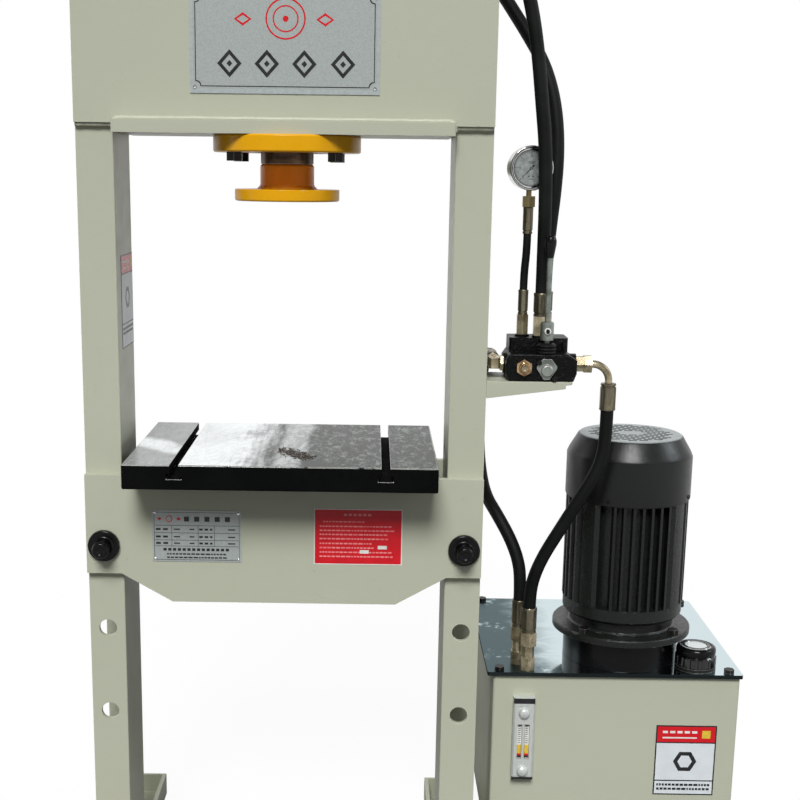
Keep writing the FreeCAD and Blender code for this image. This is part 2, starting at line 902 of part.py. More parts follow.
def valve_body():
    casting = valve_casting()
    tower_top = lever_pivot_z + trunnion_diameter
    tower = rod(Vector(lever_x, lever_y, valve_ledge - 1), up, lever_tower, tower_top - valve_ledge + 1)
    bosses = []
    for x, way in ((valve_left - port_boss_length, right), (valve_right + port_boss_length, left)):
        bosses.append(rod(Vector(x, port_axis_y, port_axis_z), way, port_boss,
                          port_boss_length + valve_shoulder))
    body = fused([casting, tower] + bosses + valve_pads())
    spool_bore = spool_diameter / 2 + spool_clearance
    body = body.cut(rod(Vector(spool_middle - spool_bore_length / 2, lever_y, spool_axis_z), right,
                        2 * spool_bore, spool_bore_length))
    body = body.cut(rod(Vector(lever_x, lever_y, spool_axis_z), up, lever_well,
                        valve_ledge - spool_axis_z - 2))
    body = body.cut(rod(Vector(lever_x, lever_y, valve_ledge - 3), up, lever_tower_bore,
                        tower_top - valve_ledge + 4))
    pin_bore = trunnion_diameter + 2 * trunnion_clearance
    body = body.cut(rod(Vector(lever_x, lever_y - lever_tower / 2 - 1, lever_pivot_z), back, pin_bore,
                        lever_tower + 2))
    stud = Vector(plug_x, plug_face, valve_bottom + plug_rise)
    return body.cut(rod(stud, back, plug_stud + 2 * plug_stud_play, plug_stud_length + plug_stud_play))


def valve_spool():
    r = spool_diameter / 2
    start = -spool_length / 2
    waist = r - spool_groove
    profile = [(0, start), (r, start), (r, start + spool_land), (waist, start + spool_land),
               (waist, start + 1.6 * spool_land), (r, start + 1.6 * spool_land), (r, -start), (0, -start)]
    spool = turned(profile, Vector(spool_middle, lever_y, spool_axis_z), right)
    slot = block(lever_x - spool_slot / 2, lever_x + spool_slot / 2, lever_y - spool_diameter,
                 lever_y + spool_diameter, spool_axis_z - spool_slot / 2, spool_axis_z + spool_diameter)
    return spool.cut(slot)


def relief_plug():
    centre = Vector(plug_x, plug_face, valve_bottom + plug_rise)
    r = plug_stud / 2
    head = hexagon(centre, front, plug_flats, plug_length * 0.55)
    nose = turned([(0, 0), (plug_flats * 0.38, 0), (plug_flats * 0.34, plug_length * 0.45),
                   (0, plug_length * 0.45)], centre + front * (plug_length * 0.55), front)
    return fused([head, nose, rod(centre, back, 2 * r, plug_stud_length)])


def valve_end_cap():
    z = spool_axis_z
    half = end_cap_width / 2
    rise = end_cap_height * 0.55
    drop = end_cap_height - rise
    outline = [(-half, drop * 0.2), (-half, rise * 0.35), (-half * 0.45, rise), (half * 0.45, rise),
               (half, rise * 0.35), (half, drop * 0.2), (half * 0.3, -drop), (-half * 0.3, -drop)]
    outline = [(lever_x + x, z + dz) for x, dz in outline]
    plate = upright_plate(outline, valve_front - end_cap_thickness, end_cap_thickness)
    boss_start = Vector(lever_x, valve_front - end_cap_thickness, z)
    boss_r = end_cap_boss / 2
    boss = turned([(0, 0), (boss_r, 0), (boss_r, end_cap_boss_length - 2),
                   (boss_r - 2, end_cap_boss_length), (0, end_cap_boss_length)], boss_start, front)
    return fused([plate, boss])


def lever_bellows():
    outer = bellows_outer / 2
    inner = bellows_inner / 2
    mouth = bellows_mouth / 2
    wall = 1.6
    pitch = (bellows_height - wall) / bellows_ribs
    profile = [(inner + 0.3, 0)]
    for i in range(bellows_ribs):
        z = i * pitch
        profile += [(outer, z + 0.15 * pitch), (outer, z + 0.55 * pitch), (outer - 2.4, z + pitch)]
    profile += [(mouth + 1, bellows_height), (mouth, bellows_height), (mouth, bellows_height - wall),
                (inner + 0.3, bellows_height - 2.5 * wall)]
    return turned(profile, Vector(lever_x, lever_y, valve_ledge), up)


def lever_socket():
    ball = lever_ball / 2
    shank = lever_shank / 2
    toe = lever_toe_shank / 2
    socket = socket_diameter / 2
    pivot = lever_pivot_z
    low = pivot + socket_rise
    top = low + socket_length
    body = turned([(0, spool_axis_z), (toe, spool_axis_z), (toe, pivot), (shank, pivot), (shank, low),
                   (socket - 1, low), (socket, low + 1), (socket, top - 2), (socket - 2, top), (0, top)],
                  Vector(lever_x, lever_y, 0), up)
    ends = [Part.makeSphere(ball, Vector(lever_x, lever_y, pivot)),
            Part.makeSphere(lever_toe_ball / 2, Vector(lever_x, lever_y, spool_axis_z)),
            rod(Vector(lever_x, lever_y - trunnion_length / 2, pivot), back, trunnion_diameter,
                trunnion_length)]
    body = fused([body] + ends)
    body = body.cut(rod(Vector(lever_x, lever_y, top - lever_rod_depth), up, lever_rod_diameter,
                        lever_rod_depth + 1))
    return body.cut(rod(Vector(lever_x, lever_y - socket, low + socket_screw_rise), back,
                        socket_screw_hole, 2.5))


lever_rod_bottom = lever_pivot_z + socket_rise + socket_length - lever_rod_depth
lever_knob_bottom = lever_rod_bottom + lever_rod_depth + lever_rod_length - 1.7


def lever_rod():
    return rod(Vector(lever_x, lever_y, lever_rod_bottom), up, lever_rod_diameter,
               lever_knob_bottom + lever_knob_depth - lever_rod_bottom)


def lever_knob():
    r = lever_knob_diameter / 2
    bore = lever_rod_diameter / 2
    root = lever_knob_root / 2
    length = lever_knob_length
    return turned([(bore, 0), (root, 0), (r, length * 0.62), (r, length * 0.8), (r - 1.5, length - 2),
                   (r - 4, length), (0, length), (0, lever_knob_depth), (bore, lever_knob_depth)],
                  Vector(lever_x, lever_y, lever_knob_bottom), up)


# Hose fittings

return_elbow_end = Vector(return_elbow_x, port_axis_y + return_elbow_reach, port_axis_z)
pressure_tube_start = Vector(valve_right + right_adaptor_length, port_axis_y, port_axis_z)
pressure_drop_x = pressure_tube_start.x + pressure_tube_run + pressure_tube_bend
pressure_ferrule_top = port_axis_z - pressure_tube_bend - pressure_tube_drop


def threaded_fittings():
    pieces = []
    for x, y in (port_a, port_b):
        base = Vector(x, y, valve_top)
        pieces.append(hexagon(base, up, fitting_flats, port_adaptor_length))
        pieces.append(hexagon(base + up * port_adaptor_length, up, fitting_flats, port_nut_length))
    gauge_base = Vector(gauge_port[0], gauge_port[1], valve_top)
    pieces.append(hexagon(gauge_base, up, gauge_fitting_flats, gauge_adaptor_length))
    pieces.append(hexagon(gauge_base + up * gauge_adaptor_length, up, gauge_fitting_flats,
                          gauge_nut_length))
    left_face = valve_left - port_boss_length
    pieces.append(hexagon(Vector(left_face, port_axis_y, port_axis_z), left, fitting_flats,
                          left_face - return_elbow_x - return_elbow_width / 2))
    pieces.append(hexagon(return_elbow_end, back, return_nut_flats, return_nut_length))
    right_face = valve_right + port_boss_length
    half_right = (pressure_tube_start.x - right_face) / 2
    pieces.append(hexagon(Vector(right_face, port_axis_y, port_axis_z), right, fitting_flats, half_right))
    pieces.append(hexagon(Vector(right_face + half_right, port_axis_y, port_axis_z), right, nut_flats,
                          half_right))
    for x, y in (pressure_inlet, return_inlet):
        base = Vector(x, y, lid_top)
        neck = rod(base + up * (lid_hex_length - 1), up, fitting_flats - 2, lid_neck_length + 1)
        pieces.append(fused([hexagon(base, up, fitting_flats, lid_hex_length), neck]))
        pieces.append(hexagon(base + up * (lid_hex_length + lid_neck_length), up, nut_flats,
                              lid_nut_length))
    pieces.append(hexagon(Vector(0, lower_elbow_y, lower_elbow_top), up, nut_flats, cylinder_nut_length))
    pieces.append(hexagon(Vector(upper_elbow_end, 0, upper_elbow_z), right, nut_flats, cylinder_nut_length))
    drain = Vector(tank_left + tank_width / 2, tank_front + tank_depth, drain_height)
    pieces.append(hexagon(drain, back, drain_flats, drain_head))
    return group(pieces)


lid_ferrule_bottom = lid_top + lid_hex_length + lid_neck_length + lid_nut_length
port_ferrule_bottom = valve_top + port_adaptor_length + port_nut_length
gauge_ferrule_bottom = valve_top + gauge_adaptor_length + gauge_nut_length
gauge_hose_bottom = gauge_ferrule_bottom + gauge_ferrule_length
gauge_hose_top = gauge_hose_bottom + gauge_hose_length
gauge_x = gauge_port[0] + gauge_shift
gauge_nut_bottom = gauge_hose_top + gauge_upper_ferrule_length
gauge_stem_bottom = gauge_nut_bottom + gauge_stem_nut
gauge_centre = Vector(gauge_x, gauge_port[1], gauge_stem_bottom + gauge_stem_length + gauge_diameter / 2)
return_ferrule_start = return_elbow_end + back * return_nut_length
lower_ferrule_bottom = lower_elbow_top + cylinder_nut_length
upper_ferrule_start = upper_elbow_end + cylinder_nut_length


def hose_ferrules():
    pieces = []
    for x, y in (port_a, port_b):
        pieces.append(ferrule(Vector(x, y, port_ferrule_bottom), up, ferrule_diameter, port_ferrule_length))
    for (x, y), length in ((pressure_inlet, pressure_lid_ferrule), (return_inlet, return_lid_ferrule)):
        pieces.append(ferrule(Vector(x, y, lid_ferrule_bottom), up, ferrule_diameter, length))
    pieces.append(ferrule(return_ferrule_start, back, ferrule_diameter, return_ferrule_length))
    pieces.append(ferrule(Vector(pressure_drop_x, port_axis_y, pressure_ferrule_top), down,
                          ferrule_diameter, pressure_ferrule_length))
    pieces.append(ferrule(Vector(0, lower_elbow_y, lower_ferrule_bottom), up, ferrule_diameter,
                          cylinder_ferrule_length))
    pieces.append(ferrule(Vector(upper_ferrule_start, 0, upper_elbow_z), right, ferrule_diameter,
                          cylinder_ferrule_length))
    pieces.append(ferrule(Vector(gauge_port[0], gauge_port[1], gauge_ferrule_bottom), up, gauge_ferrule,
                          gauge_ferrule_length))
    pieces.append(ferrule(Vector(gauge_x, gauge_port[1], gauge_hose_top), up, gauge_ferrule,
                          gauge_upper_ferrule_length))
    return group(pieces)


def return_elbow():
    half = return_elbow_width / 2
    x = return_elbow_x
    return rounded_block(x - half, x + half, port_axis_y - half, return_elbow_end.y, port_axis_z - half,
                         port_axis_z + half, 4)


def pressure_tube():
    start = pressure_tube_start
    bend = pressure_tube_bend
    turn_start = start + right * pressure_tube_run
    centre = turn_start + down * bend
    middle = centre + Vector(math.sin(math.radians(45)), 0, math.cos(math.radians(45))) * bend
    turn_end = centre + right * bend
    end = turn_end + down * pressure_tube_drop
    wire = Part.Wire([Part.LineSegment(start, turn_start).toShape(),
                      Part.Arc(turn_start, middle, turn_end).toShape(),
                      Part.LineSegment(turn_end, end).toShape()])
    circle = Part.Wire(Part.makeCircle(pressure_tube_diameter / 2, start, right))
    return wire.makePipeShell([circle], True, True)


# Routes of the hoses, chosen by hand from fitting to fitting
upper_route = [(port_a[0], port_a[1], port_ferrule_bottom + port_ferrule_length),
               (port_a[0], port_a[1], 1104), (419.8, -28, 1188), (416.5, -33, 1272), (407, -33, 1350),
               (398.3, -31, 1426), (384, -30, 1501), (360, -27, 1580), (318, -21, 1646), (258, -10, 1688),
               (200, 0, upper_elbow_z), (upper_ferrule_start + cylinder_ferrule_length, 0, upper_elbow_z)]
lower_route = [(port_b[0], port_b[1], port_ferrule_bottom + port_ferrule_length),
               (port_b[0], port_b[1], 1088), (434.5, 12.5, 1148), (440.5, 15, 1209), (443.5, 21, 1268),
               (441, 31, 1322), (433, 43, 1370), (418, 57, 1415), (394, 74, 1458), (368, 90, 1500),
               (336, 102, 1548), (285, 110, 1594), (222, 112, 1622), (155, 111, 1632), (90, 109, 1618),
               (32, 106, 1582), (0, lower_elbow_y, 1532),
               (0, lower_elbow_y, lower_ferrule_bottom + cylinder_ferrule_length)]
gauge_route = [(gauge_port[0], gauge_port[1], gauge_hose_bottom),
               (gauge_port[0], gauge_port[1], gauge_hose_bottom + 29),
               (gauge_x, gauge_port[1], gauge_hose_top - 29), (gauge_x, gauge_port[1], gauge_hose_top)]
pressure_route = [(pressure_drop_x, port_axis_y, pressure_ferrule_top - pressure_ferrule_length),
                  (pressure_drop_x, port_axis_y, 812), (533, -28, 771), (521, -30, 738),
                  (496.4, -29, 695), (463.2, -20, 632.5), (443.9, -10, 593), (430.5, 0, 555),
                  (pressure_inlet[0], pressure_inlet[1], 520),
                  (pressure_inlet[0], pressure_inlet[1], lid_ferrule_bottom + pressure_lid_ferrule)]
return_route = [(return_elbow_x, return_ferrule_start.y + return_ferrule_length, port_axis_z),
                (return_elbow_x, 114, port_axis_z), (346, 172, 905), (345, 216, 861), (344, 232, 800),
                (344, 218, 740), (346, 177, 697), (352, 124, 664), (370, 88, 639), (394, 66, 598.7),
                (408.5, 50, 560), (return_inlet[0], return_inlet[1], 524),
                (return_inlet[0], return_inlet[1], lid_ferrule_bottom + return_lid_ferrule)]


# Pressure gauge: made around +Z with its face up, then turned to look forward

def on_gauge(solid):
    """Turns a piece made with its face towards +Z and its top towards +Y onto the gauge."""
    tilt = FreeCAD.Rotation(Vector(1, 0, 0), 90)
    swing = FreeCAD.Rotation(up, gauge_turn)
    solid = solid.copy()
    solid.Placement = FreeCAD.Placement(gauge_centre, swing.multiply(tilt)).multiply(solid.Placement)
    return solid


gauge_half = gauge_depth / 2
bezel_back = gauge_half - gauge_bezel_depth
glass_back = gauge_half - 1.5 - gauge_glass_thickness
dial_face = gauge_half - gauge_dial_recess


def gauge_case():
    r = gauge_diameter / 2
    wall = gauge_wall
    back_z = -gauge_half
    case = turned([(0, back_z), (r - 4, back_z), (r - 1, back_z + 3), (r - 1, bezel_back),
                   (r - wall - 1, bezel_back), (r - wall - 1, dial_face), (0, dial_face)],
                  Vector(0, 0, 0), up)
    pin = rod(Vector(0, 0, dial_face - 1), up, needle_pin, needle_rise + needle_thickness + 2)
    case = on_gauge(fused([case, pin]))
    stem_top = gauge_centre.z - gauge_diameter / 2 + 6
    stem = rod(Vector(gauge_x, gauge_port[1], gauge_stem_bottom - 1), up, gauge_stem_diameter,
               stem_top - gauge_stem_bottom + 1)
    nut = hexagon(Vector(gauge_x, gauge_port[1], gauge_nut_bottom), up, gauge_stem_flats, gauge_stem_nut)
    return fused([case, stem, nut])


def gauge_bezel():
    r = gauge_diameter / 2
    inner = r - gauge_bezel_width
    seat = r - gauge_wall - 1
    return on_gauge(turned([(seat, bezel_back), (r, bezel_back), (r, gauge_half - 1.5),
                            (r - 1.5, gauge_half), (inner, gauge_half - 1.5), (seat, gauge_half - 1.5)],
                           Vector(0, 0, 0), up))


def gauge_glass():
    seat = gauge_diameter / 2 - gauge_wall - 1
    return on_gauge(rod(Vector(0, 0, glass_back), up, 2 * seat, gauge_glass_thickness))


def gauge_needle():
    z0 = dial_face + needle_rise
    hub_r = needle_hub / 2
    bore = needle_pin / 2 + needle_clearance
    half = needle_width / 2
    tip = needle_tip / 2
    outline = [Vector(-half, -needle_tail, z0), Vector(half, -needle_tail, z0),
               Vector(tip, needle_length, z0), Vector(-tip, needle_length, z0),
               Vector(-half, -needle_tail, z0)]
    arm = Part.Face(Part.makePolygon(outline)).extrude(up * needle_thickness)
    hub = rod(Vector(0, 0, z0 - 0.5), up, 2 * hub_r, needle_thickness + 1)
    needle = fused([arm, hub]).cut(rod(Vector(0, 0, z0 - 1), up, 2 * bore, needle_thickness + 3))
    needle.rotate(Vector(0, 0, 0), up, -needle_rest)
    return on_gauge(needle)


# Tank

def tank_shell():
    outer = rounded_block(tank_left, tank_right, tank_front, tank_rear, skid_height, tank_top, tank_corner)
    inner = block(tank_left + tank_wall, tank_right - tank_wall, tank_front + tank_wall,
                  tank_rear - tank_wall, skid_height + tank_wall, tank_top + 1)
    shell = outer.cut(inner)
    skids = []
    for x in (tank_left + skid_inset, tank_right - skid_inset - skid_width):
        skids.append(block(x, x + skid_width, tank_front + skid_inset, tank_rear - skid_inset, 0,
                           skid_height + 1))
    drain = Vector(tank_left + tank_width / 2, tank_rear - 2 * tank_wall, drain_height)
    shell = fused([shell] + skids)
    return shell.cut(rod(drain, back, pipe_diameter, 3 * tank_wall))


lid_left = tank_left - lid_overhang_left
lid_right = tank_right + lid_overhang_right
lid_front = tank_front - lid_overhang_front
lid_rear = tank_rear + lid_overhang_rear


def lid_bolt_places():
    places = []
    for x in (lid_left + lid_bolt_inset_x, lid_right - lid_bolt_inset_x):
        for y in (lid_front + lid_bolt_inset_y, lid_rear - lid_bolt_inset_y):
            places.append(Vector(x, y, lid_top))
    return places


def motor_bolt_places():
    places = []
    for i in range(flange_bolts_motor):
        angle = math.radians(45 + 360 / flange_bolts_motor * i)
        outward = Vector(math.cos(angle), math.sin(angle), 0)
        places.append(motor_axis + outward * (motor_bolt_circle / 2) + up * flange_top)
    return places


def tank_lid():
    lid = rounded_block(lid_left, lid_right, lid_front, lid_rear, tank_top, lid_top, lid_corner)
    holes = [rod(Vector(p.x, p.y, tank_top - 1), up, lid_bolt_shank,
                 lid_thickness + 2) for p in lid_bolt_places()]
    holes.append(rod(motor_axis + up * (tank_top - 1), up, pump_top_bore, lid_thickness + 2))
    holes.append(rod(Vector(filler_x, filler_y, tank_top - 1), up, filler_neck_diameter + 1,
                     lid_thickness + 2))
    for x, y in (pressure_inlet, return_inlet):
        holes.append(rod(Vector(x, y, tank_top - 1), up, pipe_diameter, lid_thickness + 2))
    return lid.cut(holes[0].fuse(holes[1:]))


def power_pack_bolts():
    bolts = []
    for place in lid_bolt_places():
        bolts.append(bolt(place + up * lid_bolt_head, up, lid_bolt_flats, lid_bolt_head, lid_bolt_shank,
                          lid_thickness))
    for place in motor_bolt_places():
        bolts.append(bolt(place + up * motor_bolt_head, up, motor_bolt_flats, motor_bolt_head,
                          lid_bolt_shank, motor_flange_thickness))
    return group(bolts)


def level_gauge():
    """A grooved housing between two end caps, with a sight tube in its window and two domed bolts."""
    x = level_gauge_x
    half = level_gauge_width / 2
    face = tank_front - level_gauge_depth
    low = level_gauge_bottom
    top = level_gauge_bottom + level_gauge_height
    edge = level_edge
    section = [Vector(x - half, tank_front, low), Vector(x - half, face + edge, low),
               Vector(x - half + edge, face, low), Vector(x + half - edge, face, low),
               Vector(x + half, face + edge, low), Vector(x + half, tank_front, low)]
    housing = Part.Face(Part.makePolygon(section + [section[0]])).extrude(Vector(0, 0, level_gauge_height))
    for z in (low + level_bottom_cap, top - level_top_cap - level_cap_groove):
        ring = block(x - half - 1, x + half + 1, face - 1, tank_front + 1, z, z + level_cap_groove)
        core = block(x - half + level_cap_groove, x + half - level_cap_groove, face + level_cap_groove,
                     tank_front + 1, z, z + level_cap_groove)
        housing = housing.cut(ring.cut(core))
    window_low = low + level_window_below
    window_top = top - level_window_above
    window = block(x - level_window_width / 2, x + level_window_width / 2, face - 1,
                   face + level_window_depth, window_low, window_top)
    tube = rod(Vector(x, face + level_window_depth / 2, window_low - 1), up, level_tube,
               window_top - window_low + 2)
    heads = []
    for z in (low + level_lower_bolt, top - level_upper_bolt):
        heads.append(turned(dome(level_bolt_diameter / 2, level_bolt_head), Vector(x, face, z), front))
    return fused([housing.cut(window), tube] + heads)


def dome(radius, height):
    """The outline of a domed bolt head that sits a little way into its seat."""
    rim = height * 0.25
    outline = [(0, -0.5), (radius, -0.5), (radius, rim)]
    for i in range(1, 6):
        angle = math.radians(18 * i)
        outline.append((radius * math.cos(angle), rim + (height - rim) * math.sin(angle)))
    return outline


def filler_neck():
    flange_r = filler_flange / 2
    outer = filler_neck_diameter / 2
    inner = outer - filler_neck_wall
    top = lid_top + filler_neck_rise
    bottom = lid_top - strainer_depth
    seat = lid_top + filler_flange_thickness
    return turned([(inner, bottom + 2), (inner, top), (outer, top), (outer, seat), (flange_r, seat),
                   (flange_r, lid_top), (outer, lid_top), (outer, bottom), (0, bottom), (0, bottom + 2)],
                  Vector(filler_x, filler_y, 0), up)


def filler_cap():
    r = filler_flange / 2
    neck = filler_neck_diameter / 2 + filler_cap_clearance
    low = filler_flange_thickness + filler_cap_gap
    roof = filler_neck_rise + filler_cap_wall
    top_r = filler_cap_top / 2
    step = filler_cap_step
    height = filler_cap_height
    dish_r = top_r - 3 - filler_cap_rim
    floor = height - filler_cap_dish
    cap = turned([(neck, low), (r - 1, low), (r, low + 1), (r, step - 3), (r - 3, step),
                  (top_r, step + 0.5), (top_r, height - 3), (top_r - 3, height), (dish_r, height),
                  (dish_r - filler_cap_dish, floor), (0, floor), (0, roof), (neck, roof)],
                 Vector(filler_x, filler_y, lid_top), up)
    for i in range(filler_cap_flutes):
        angle = math.radians(360 / filler_cap_flutes * i)
        outward = Vector(math.cos(angle), math.sin(angle), 0)
        reach = r + filler_cap_flute / 2 - filler_cap_flute_depth
        start = Vector(filler_x, filler_y, lid_top + low - 1) + outward * reach
        cap = cap.cut(rod(start, up, filler_cap_flute, step + 2))
    for i in range(breather_holes):
        angle = math.radians(360 / breather_holes * i)
        outward = Vector(math.cos(angle), math.sin(angle), 0)
        start = Vector(filler_x, filler_y, lid_top + (step + height) / 2) + outward * (top_r - 2.5)
        cap = cap.cut(rod(start, outward, breather_hole, 4))
    return cap


# Motor, coupling and pump

def motor_riser():
    outer = riser_diameter / 2
    inner = outer - riser_wall
    return turned([(inner, lid_top), (outer, lid_top), (outer, riser_top), (inner, riser_top)],
                  motor_axis, up)


def motor_end_shield():
    flange_r = motor_flange / 2
    neck_r = shield_neck / 2
    ring_r = shield_ring / 2
    neck_top_z = flange_top + shield_neck_height
    inner = neck_r - shield_wall
    bearing = shaft_diameter / 2 + shaft_clearance
    web = shield_top - shield_web
    shield = turned([(inner, riser_top), (flange_r - 1, riser_top), (flange_r, riser_top + 1),
                     (flange_r, flange_top - 2), (flange_r - 2, flange_top), (neck_r + 3, flange_top),
                     (neck_r, flange_top + 3), (neck_r, neck_top_z), (ring_r - shield_cone, neck_top_z),
                     (ring_r, neck_top_z + shield_cone), (ring_r, shield_top), (bearing, shield_top),
                     (bearing, web), (inner, web)], motor_axis, up)
    for place in motor_bolt_places():
        shield = shield.cut(rod(Vector(place.x, place.y, riser_top - 1), up,
                                lid_bolt_shank + bolt_hole_play, motor_flange_thickness + 2))
    return shield


def motor_body():
    core = rod(motor_axis + up * shield_top, up, stator_core, stator_height)
    reach = fin_circle / 2
    stock = []
    for i in range(fin_count):
        x = motor_x + fin_first + fin_pitch * i
        stock.append(block(x - fin_thickness / 2, x + fin_thickness / 2, motor_y - reach, motor_y + reach,
                           shield_top, stator_top))
    for i in range(side_fin_count):
        y = motor_y + side_fin_first + fin_pitch * i
        stock.append(block(motor_x - reach, motor_x + reach, y - fin_thickness / 2, y + fin_thickness / 2,
                           shield_top, stator_top))
    for x in pad_places:
        for side in (-1, 1):
            y0, y1 = sorted((motor_y, motor_y + side * pad_reach))
            stock.append(block(motor_x + x - pad_width / 2, motor_x + x + pad_width / 2, y0, y1,
                               shield_top, stator_top))
    envelope = rod(motor_axis + up * shield_top, up, fin_circle, stator_height)
    seat = block(motor_x - terminal_width / 2, motor_x + terminal_width / 2,
                 motor_y + reach - terminal_seat, motor_y + fin_circle, terminal_bottom,
                 terminal_bottom + terminal_height)
    body = core.fuse(stock).common(envelope).cut(seat)
    hollow = rod(motor_axis + up * (shield_top - 1), up, stator_bore, stator_height - stator_head + 1)
    bearing = rod(motor_axis + up * shield_top, up, shaft_diameter + 2 * shaft_clearance, stator_height + 1)
    return body.cut(hollow).cut(bearing).removeSplitter()


def fan_cowl():
    """The fan cover: a rolled band, a spun cone and a flat top pierced with rows of slots."""
    outer = cowl_diameter / 2
    top_r = cowl_top_diameter / 2
    wall = cowl_wall
    inner = outer - wall
    lip = cowl_lip
    cowl = turned([(inner, cowl_bottom), (outer - 1, cowl_bottom), (outer, cowl_bottom + lip),
                   (outer, cowl_band), (outer - 4, cowl_band + 9), (top_r + 4, cowl_top - 3),
                   (top_r, cowl_top), (0, cowl_top), (0, cowl_top - wall), (top_r - 0.5, cowl_top - wall),
                   (top_r + 3, cowl_top - 3 - wall), (outer - 4 - wall, cowl_band + 9 - 0.6 * wall),
                   (inner, cowl_band)], motor_axis, up)
    pitch_y = grille_row + grille_bar
    pitch_x = grille_slot + grille_bridge
    rows = int(grille_circle / pitch_y / 2)
    columns = int(grille_circle / pitch_x / 2) + 1
    slots = []
    for row in range(-rows, rows + 1):
        shift = pitch_x / 2 if row % 2 else 0
        for column_number in range(-columns, columns + 1):
            x = column_number * pitch_x + shift
            y = row * pitch_y
            far = math.hypot(abs(x) + grille_slot / 2, abs(y) + grille_row / 2)
            near = math.hypot(max(abs(x) - grille_slot / 2, 0), max(abs(y) - grille_row / 2, 0))
            if far < grille_circle / 2 and near > grille_hub / 2:
                slots.append(block(motor_x + x - grille_slot / 2, motor_x + x + grille_slot / 2,
                                   motor_y + y - grille_row / 2, motor_y + y + grille_row / 2,
                                   cowl_top - 2 * wall, cowl_top + 1))
    return cowl.cut(group(slots))


def cooling_fan():
    hub = rod(motor_axis + up * fan_bottom, up, fan_hub, fan_height - fan_top_gap)
    disc = rod(motor_axis + up * fan_bottom, up, fan_diameter, fan_disc)
    blades = []
    for i in range(fan_blades):
        blade = block(fan_hub / 2 - 3, fan_diameter / 2 - 1, -fan_blade_thickness / 2,
                      fan_blade_thickness / 2, fan_bottom, fan_bottom + fan_height)
        blade.rotate(Vector(0, 0, 0), up, 360 / fan_blades * i)
        blade.translate(motor_axis)
        blades.append(blade)
    fan = fused([hub, disc] + blades)
    return fan.cut(rod(motor_axis + up * (fan_bottom - 1), up, shaft_diameter, fan_height + 2))


def rotor_shaft():
    shaft = shaft_diameter / 2
    core = rotor_diameter / 2
    end = fan_bottom + fan_height - fan_top_gap + 2
    return turned([(0, shaft_bottom), (shaft - 1, shaft_bottom), (shaft, shaft_bottom + 1),
                   (shaft, rotor_start), (core, rotor_start), (core, rotor_start + rotor_length),
                   (shaft, rotor_start + rotor_length), (shaft, end), (0, end)], motor_axis, up)


pump_top = tank_top


def shaft_coupling():
    r = coupling_diameter / 2
    top = coupling_bottom + coupling_length
    motor_end = shaft_diameter / 2
    pump_end = pump_shaft / 2
    tail = pump_top - pump_shaft_depth
    return turned([(0, tail), (pump_end - 1, tail), (pump_end, tail + 1), (pump_end, coupling_bottom),
                   (r - 1, coupling_bottom), (r, coupling_bottom + 1), (r, top - 1), (r - 1, top),
                   (motor_end, top), (motor_end, shaft_bottom), (0, shaft_bottom)], motor_axis, up)


def gear_pump():
    half_x = pump_width / 2
    half_y = pump_depth / 2
    body = rounded_block(motor_x - half_x, motor_x + half_x, motor_y - half_y, motor_y + half_y,
                         pump_top - pump_height, pump_top, pump_corner)
    bore = rod(motor_axis + up * (pump_top - pump_shaft_depth - 2), up, pump_shaft + 2 * shaft_clearance,
               pump_shaft_depth + 3)
    return body.cut(bore)


def tank_pipes():
    """Inside the tank: the pump's delivery pipe, the return pipe and the suction strainer."""
    pump_left = motor_x - pump_width / 2
    middle_z = pump_top - pump_height * 0.6
    x, y = pressure_inlet
    route = [(pump_left, motor_y, middle_z), (x + 60, motor_y, middle_z), (x, y, middle_z), (x, y, lid_top)]
    delivery, wire, radii = swept(route, pipe_diameter - 2)
    x, y = return_inlet
    inner_pipe = rod(Vector(x, y, lid_top - return_pipe_length), up, pipe_diameter, return_pipe_length)
    bottom = pump_top - pump_height
    strainer_top = bottom - suction_drop
    strainer_low = strainer_top - suction_length
    r = pipe_diameter
    suction = turned([(0, strainer_low), (2 * r, strainer_low), (2 * r, strainer_top - suction_cone),
                      (r, strainer_top), (r / 2, strainer_top + suction_cone / 2), (r / 2, bottom),
                      (0, bottom)], motor_axis, up)
    return group([delivery, inner_pipe, suction])


def terminal_box():
    half = terminal_width / 2
    y0 = motor_y + fin_circle / 2 - terminal_seat
    y1 = y0 + terminal_depth
    top = terminal_bottom + terminal_height
    body = block(motor_x - half, motor_x + half, y0, y1 - terminal_cover, terminal_bottom, top)
    cover = block(motor_x - half - 2, motor_x + half + 2, y1 - terminal_cover, y1, terminal_bottom - 2,
                  top + 2)
    edges = [e for e in cover.Edges if abs(e.tangentAt(e.FirstParameter).y) > 0.99]
    cover = cover.makeFillet(terminal_corner, edges)
    gland = Vector(motor_x + half - 1, y0 + terminal_depth / 2, terminal_bottom + terminal_height * 0.35)
    nut = hexagon(gland, right, terminal_gland, terminal_gland_length * 0.5)
    nose = rod(gland, right, terminal_gland - 5, terminal_gland_length)
    return fused([body, cover, nut, nose])


# Output

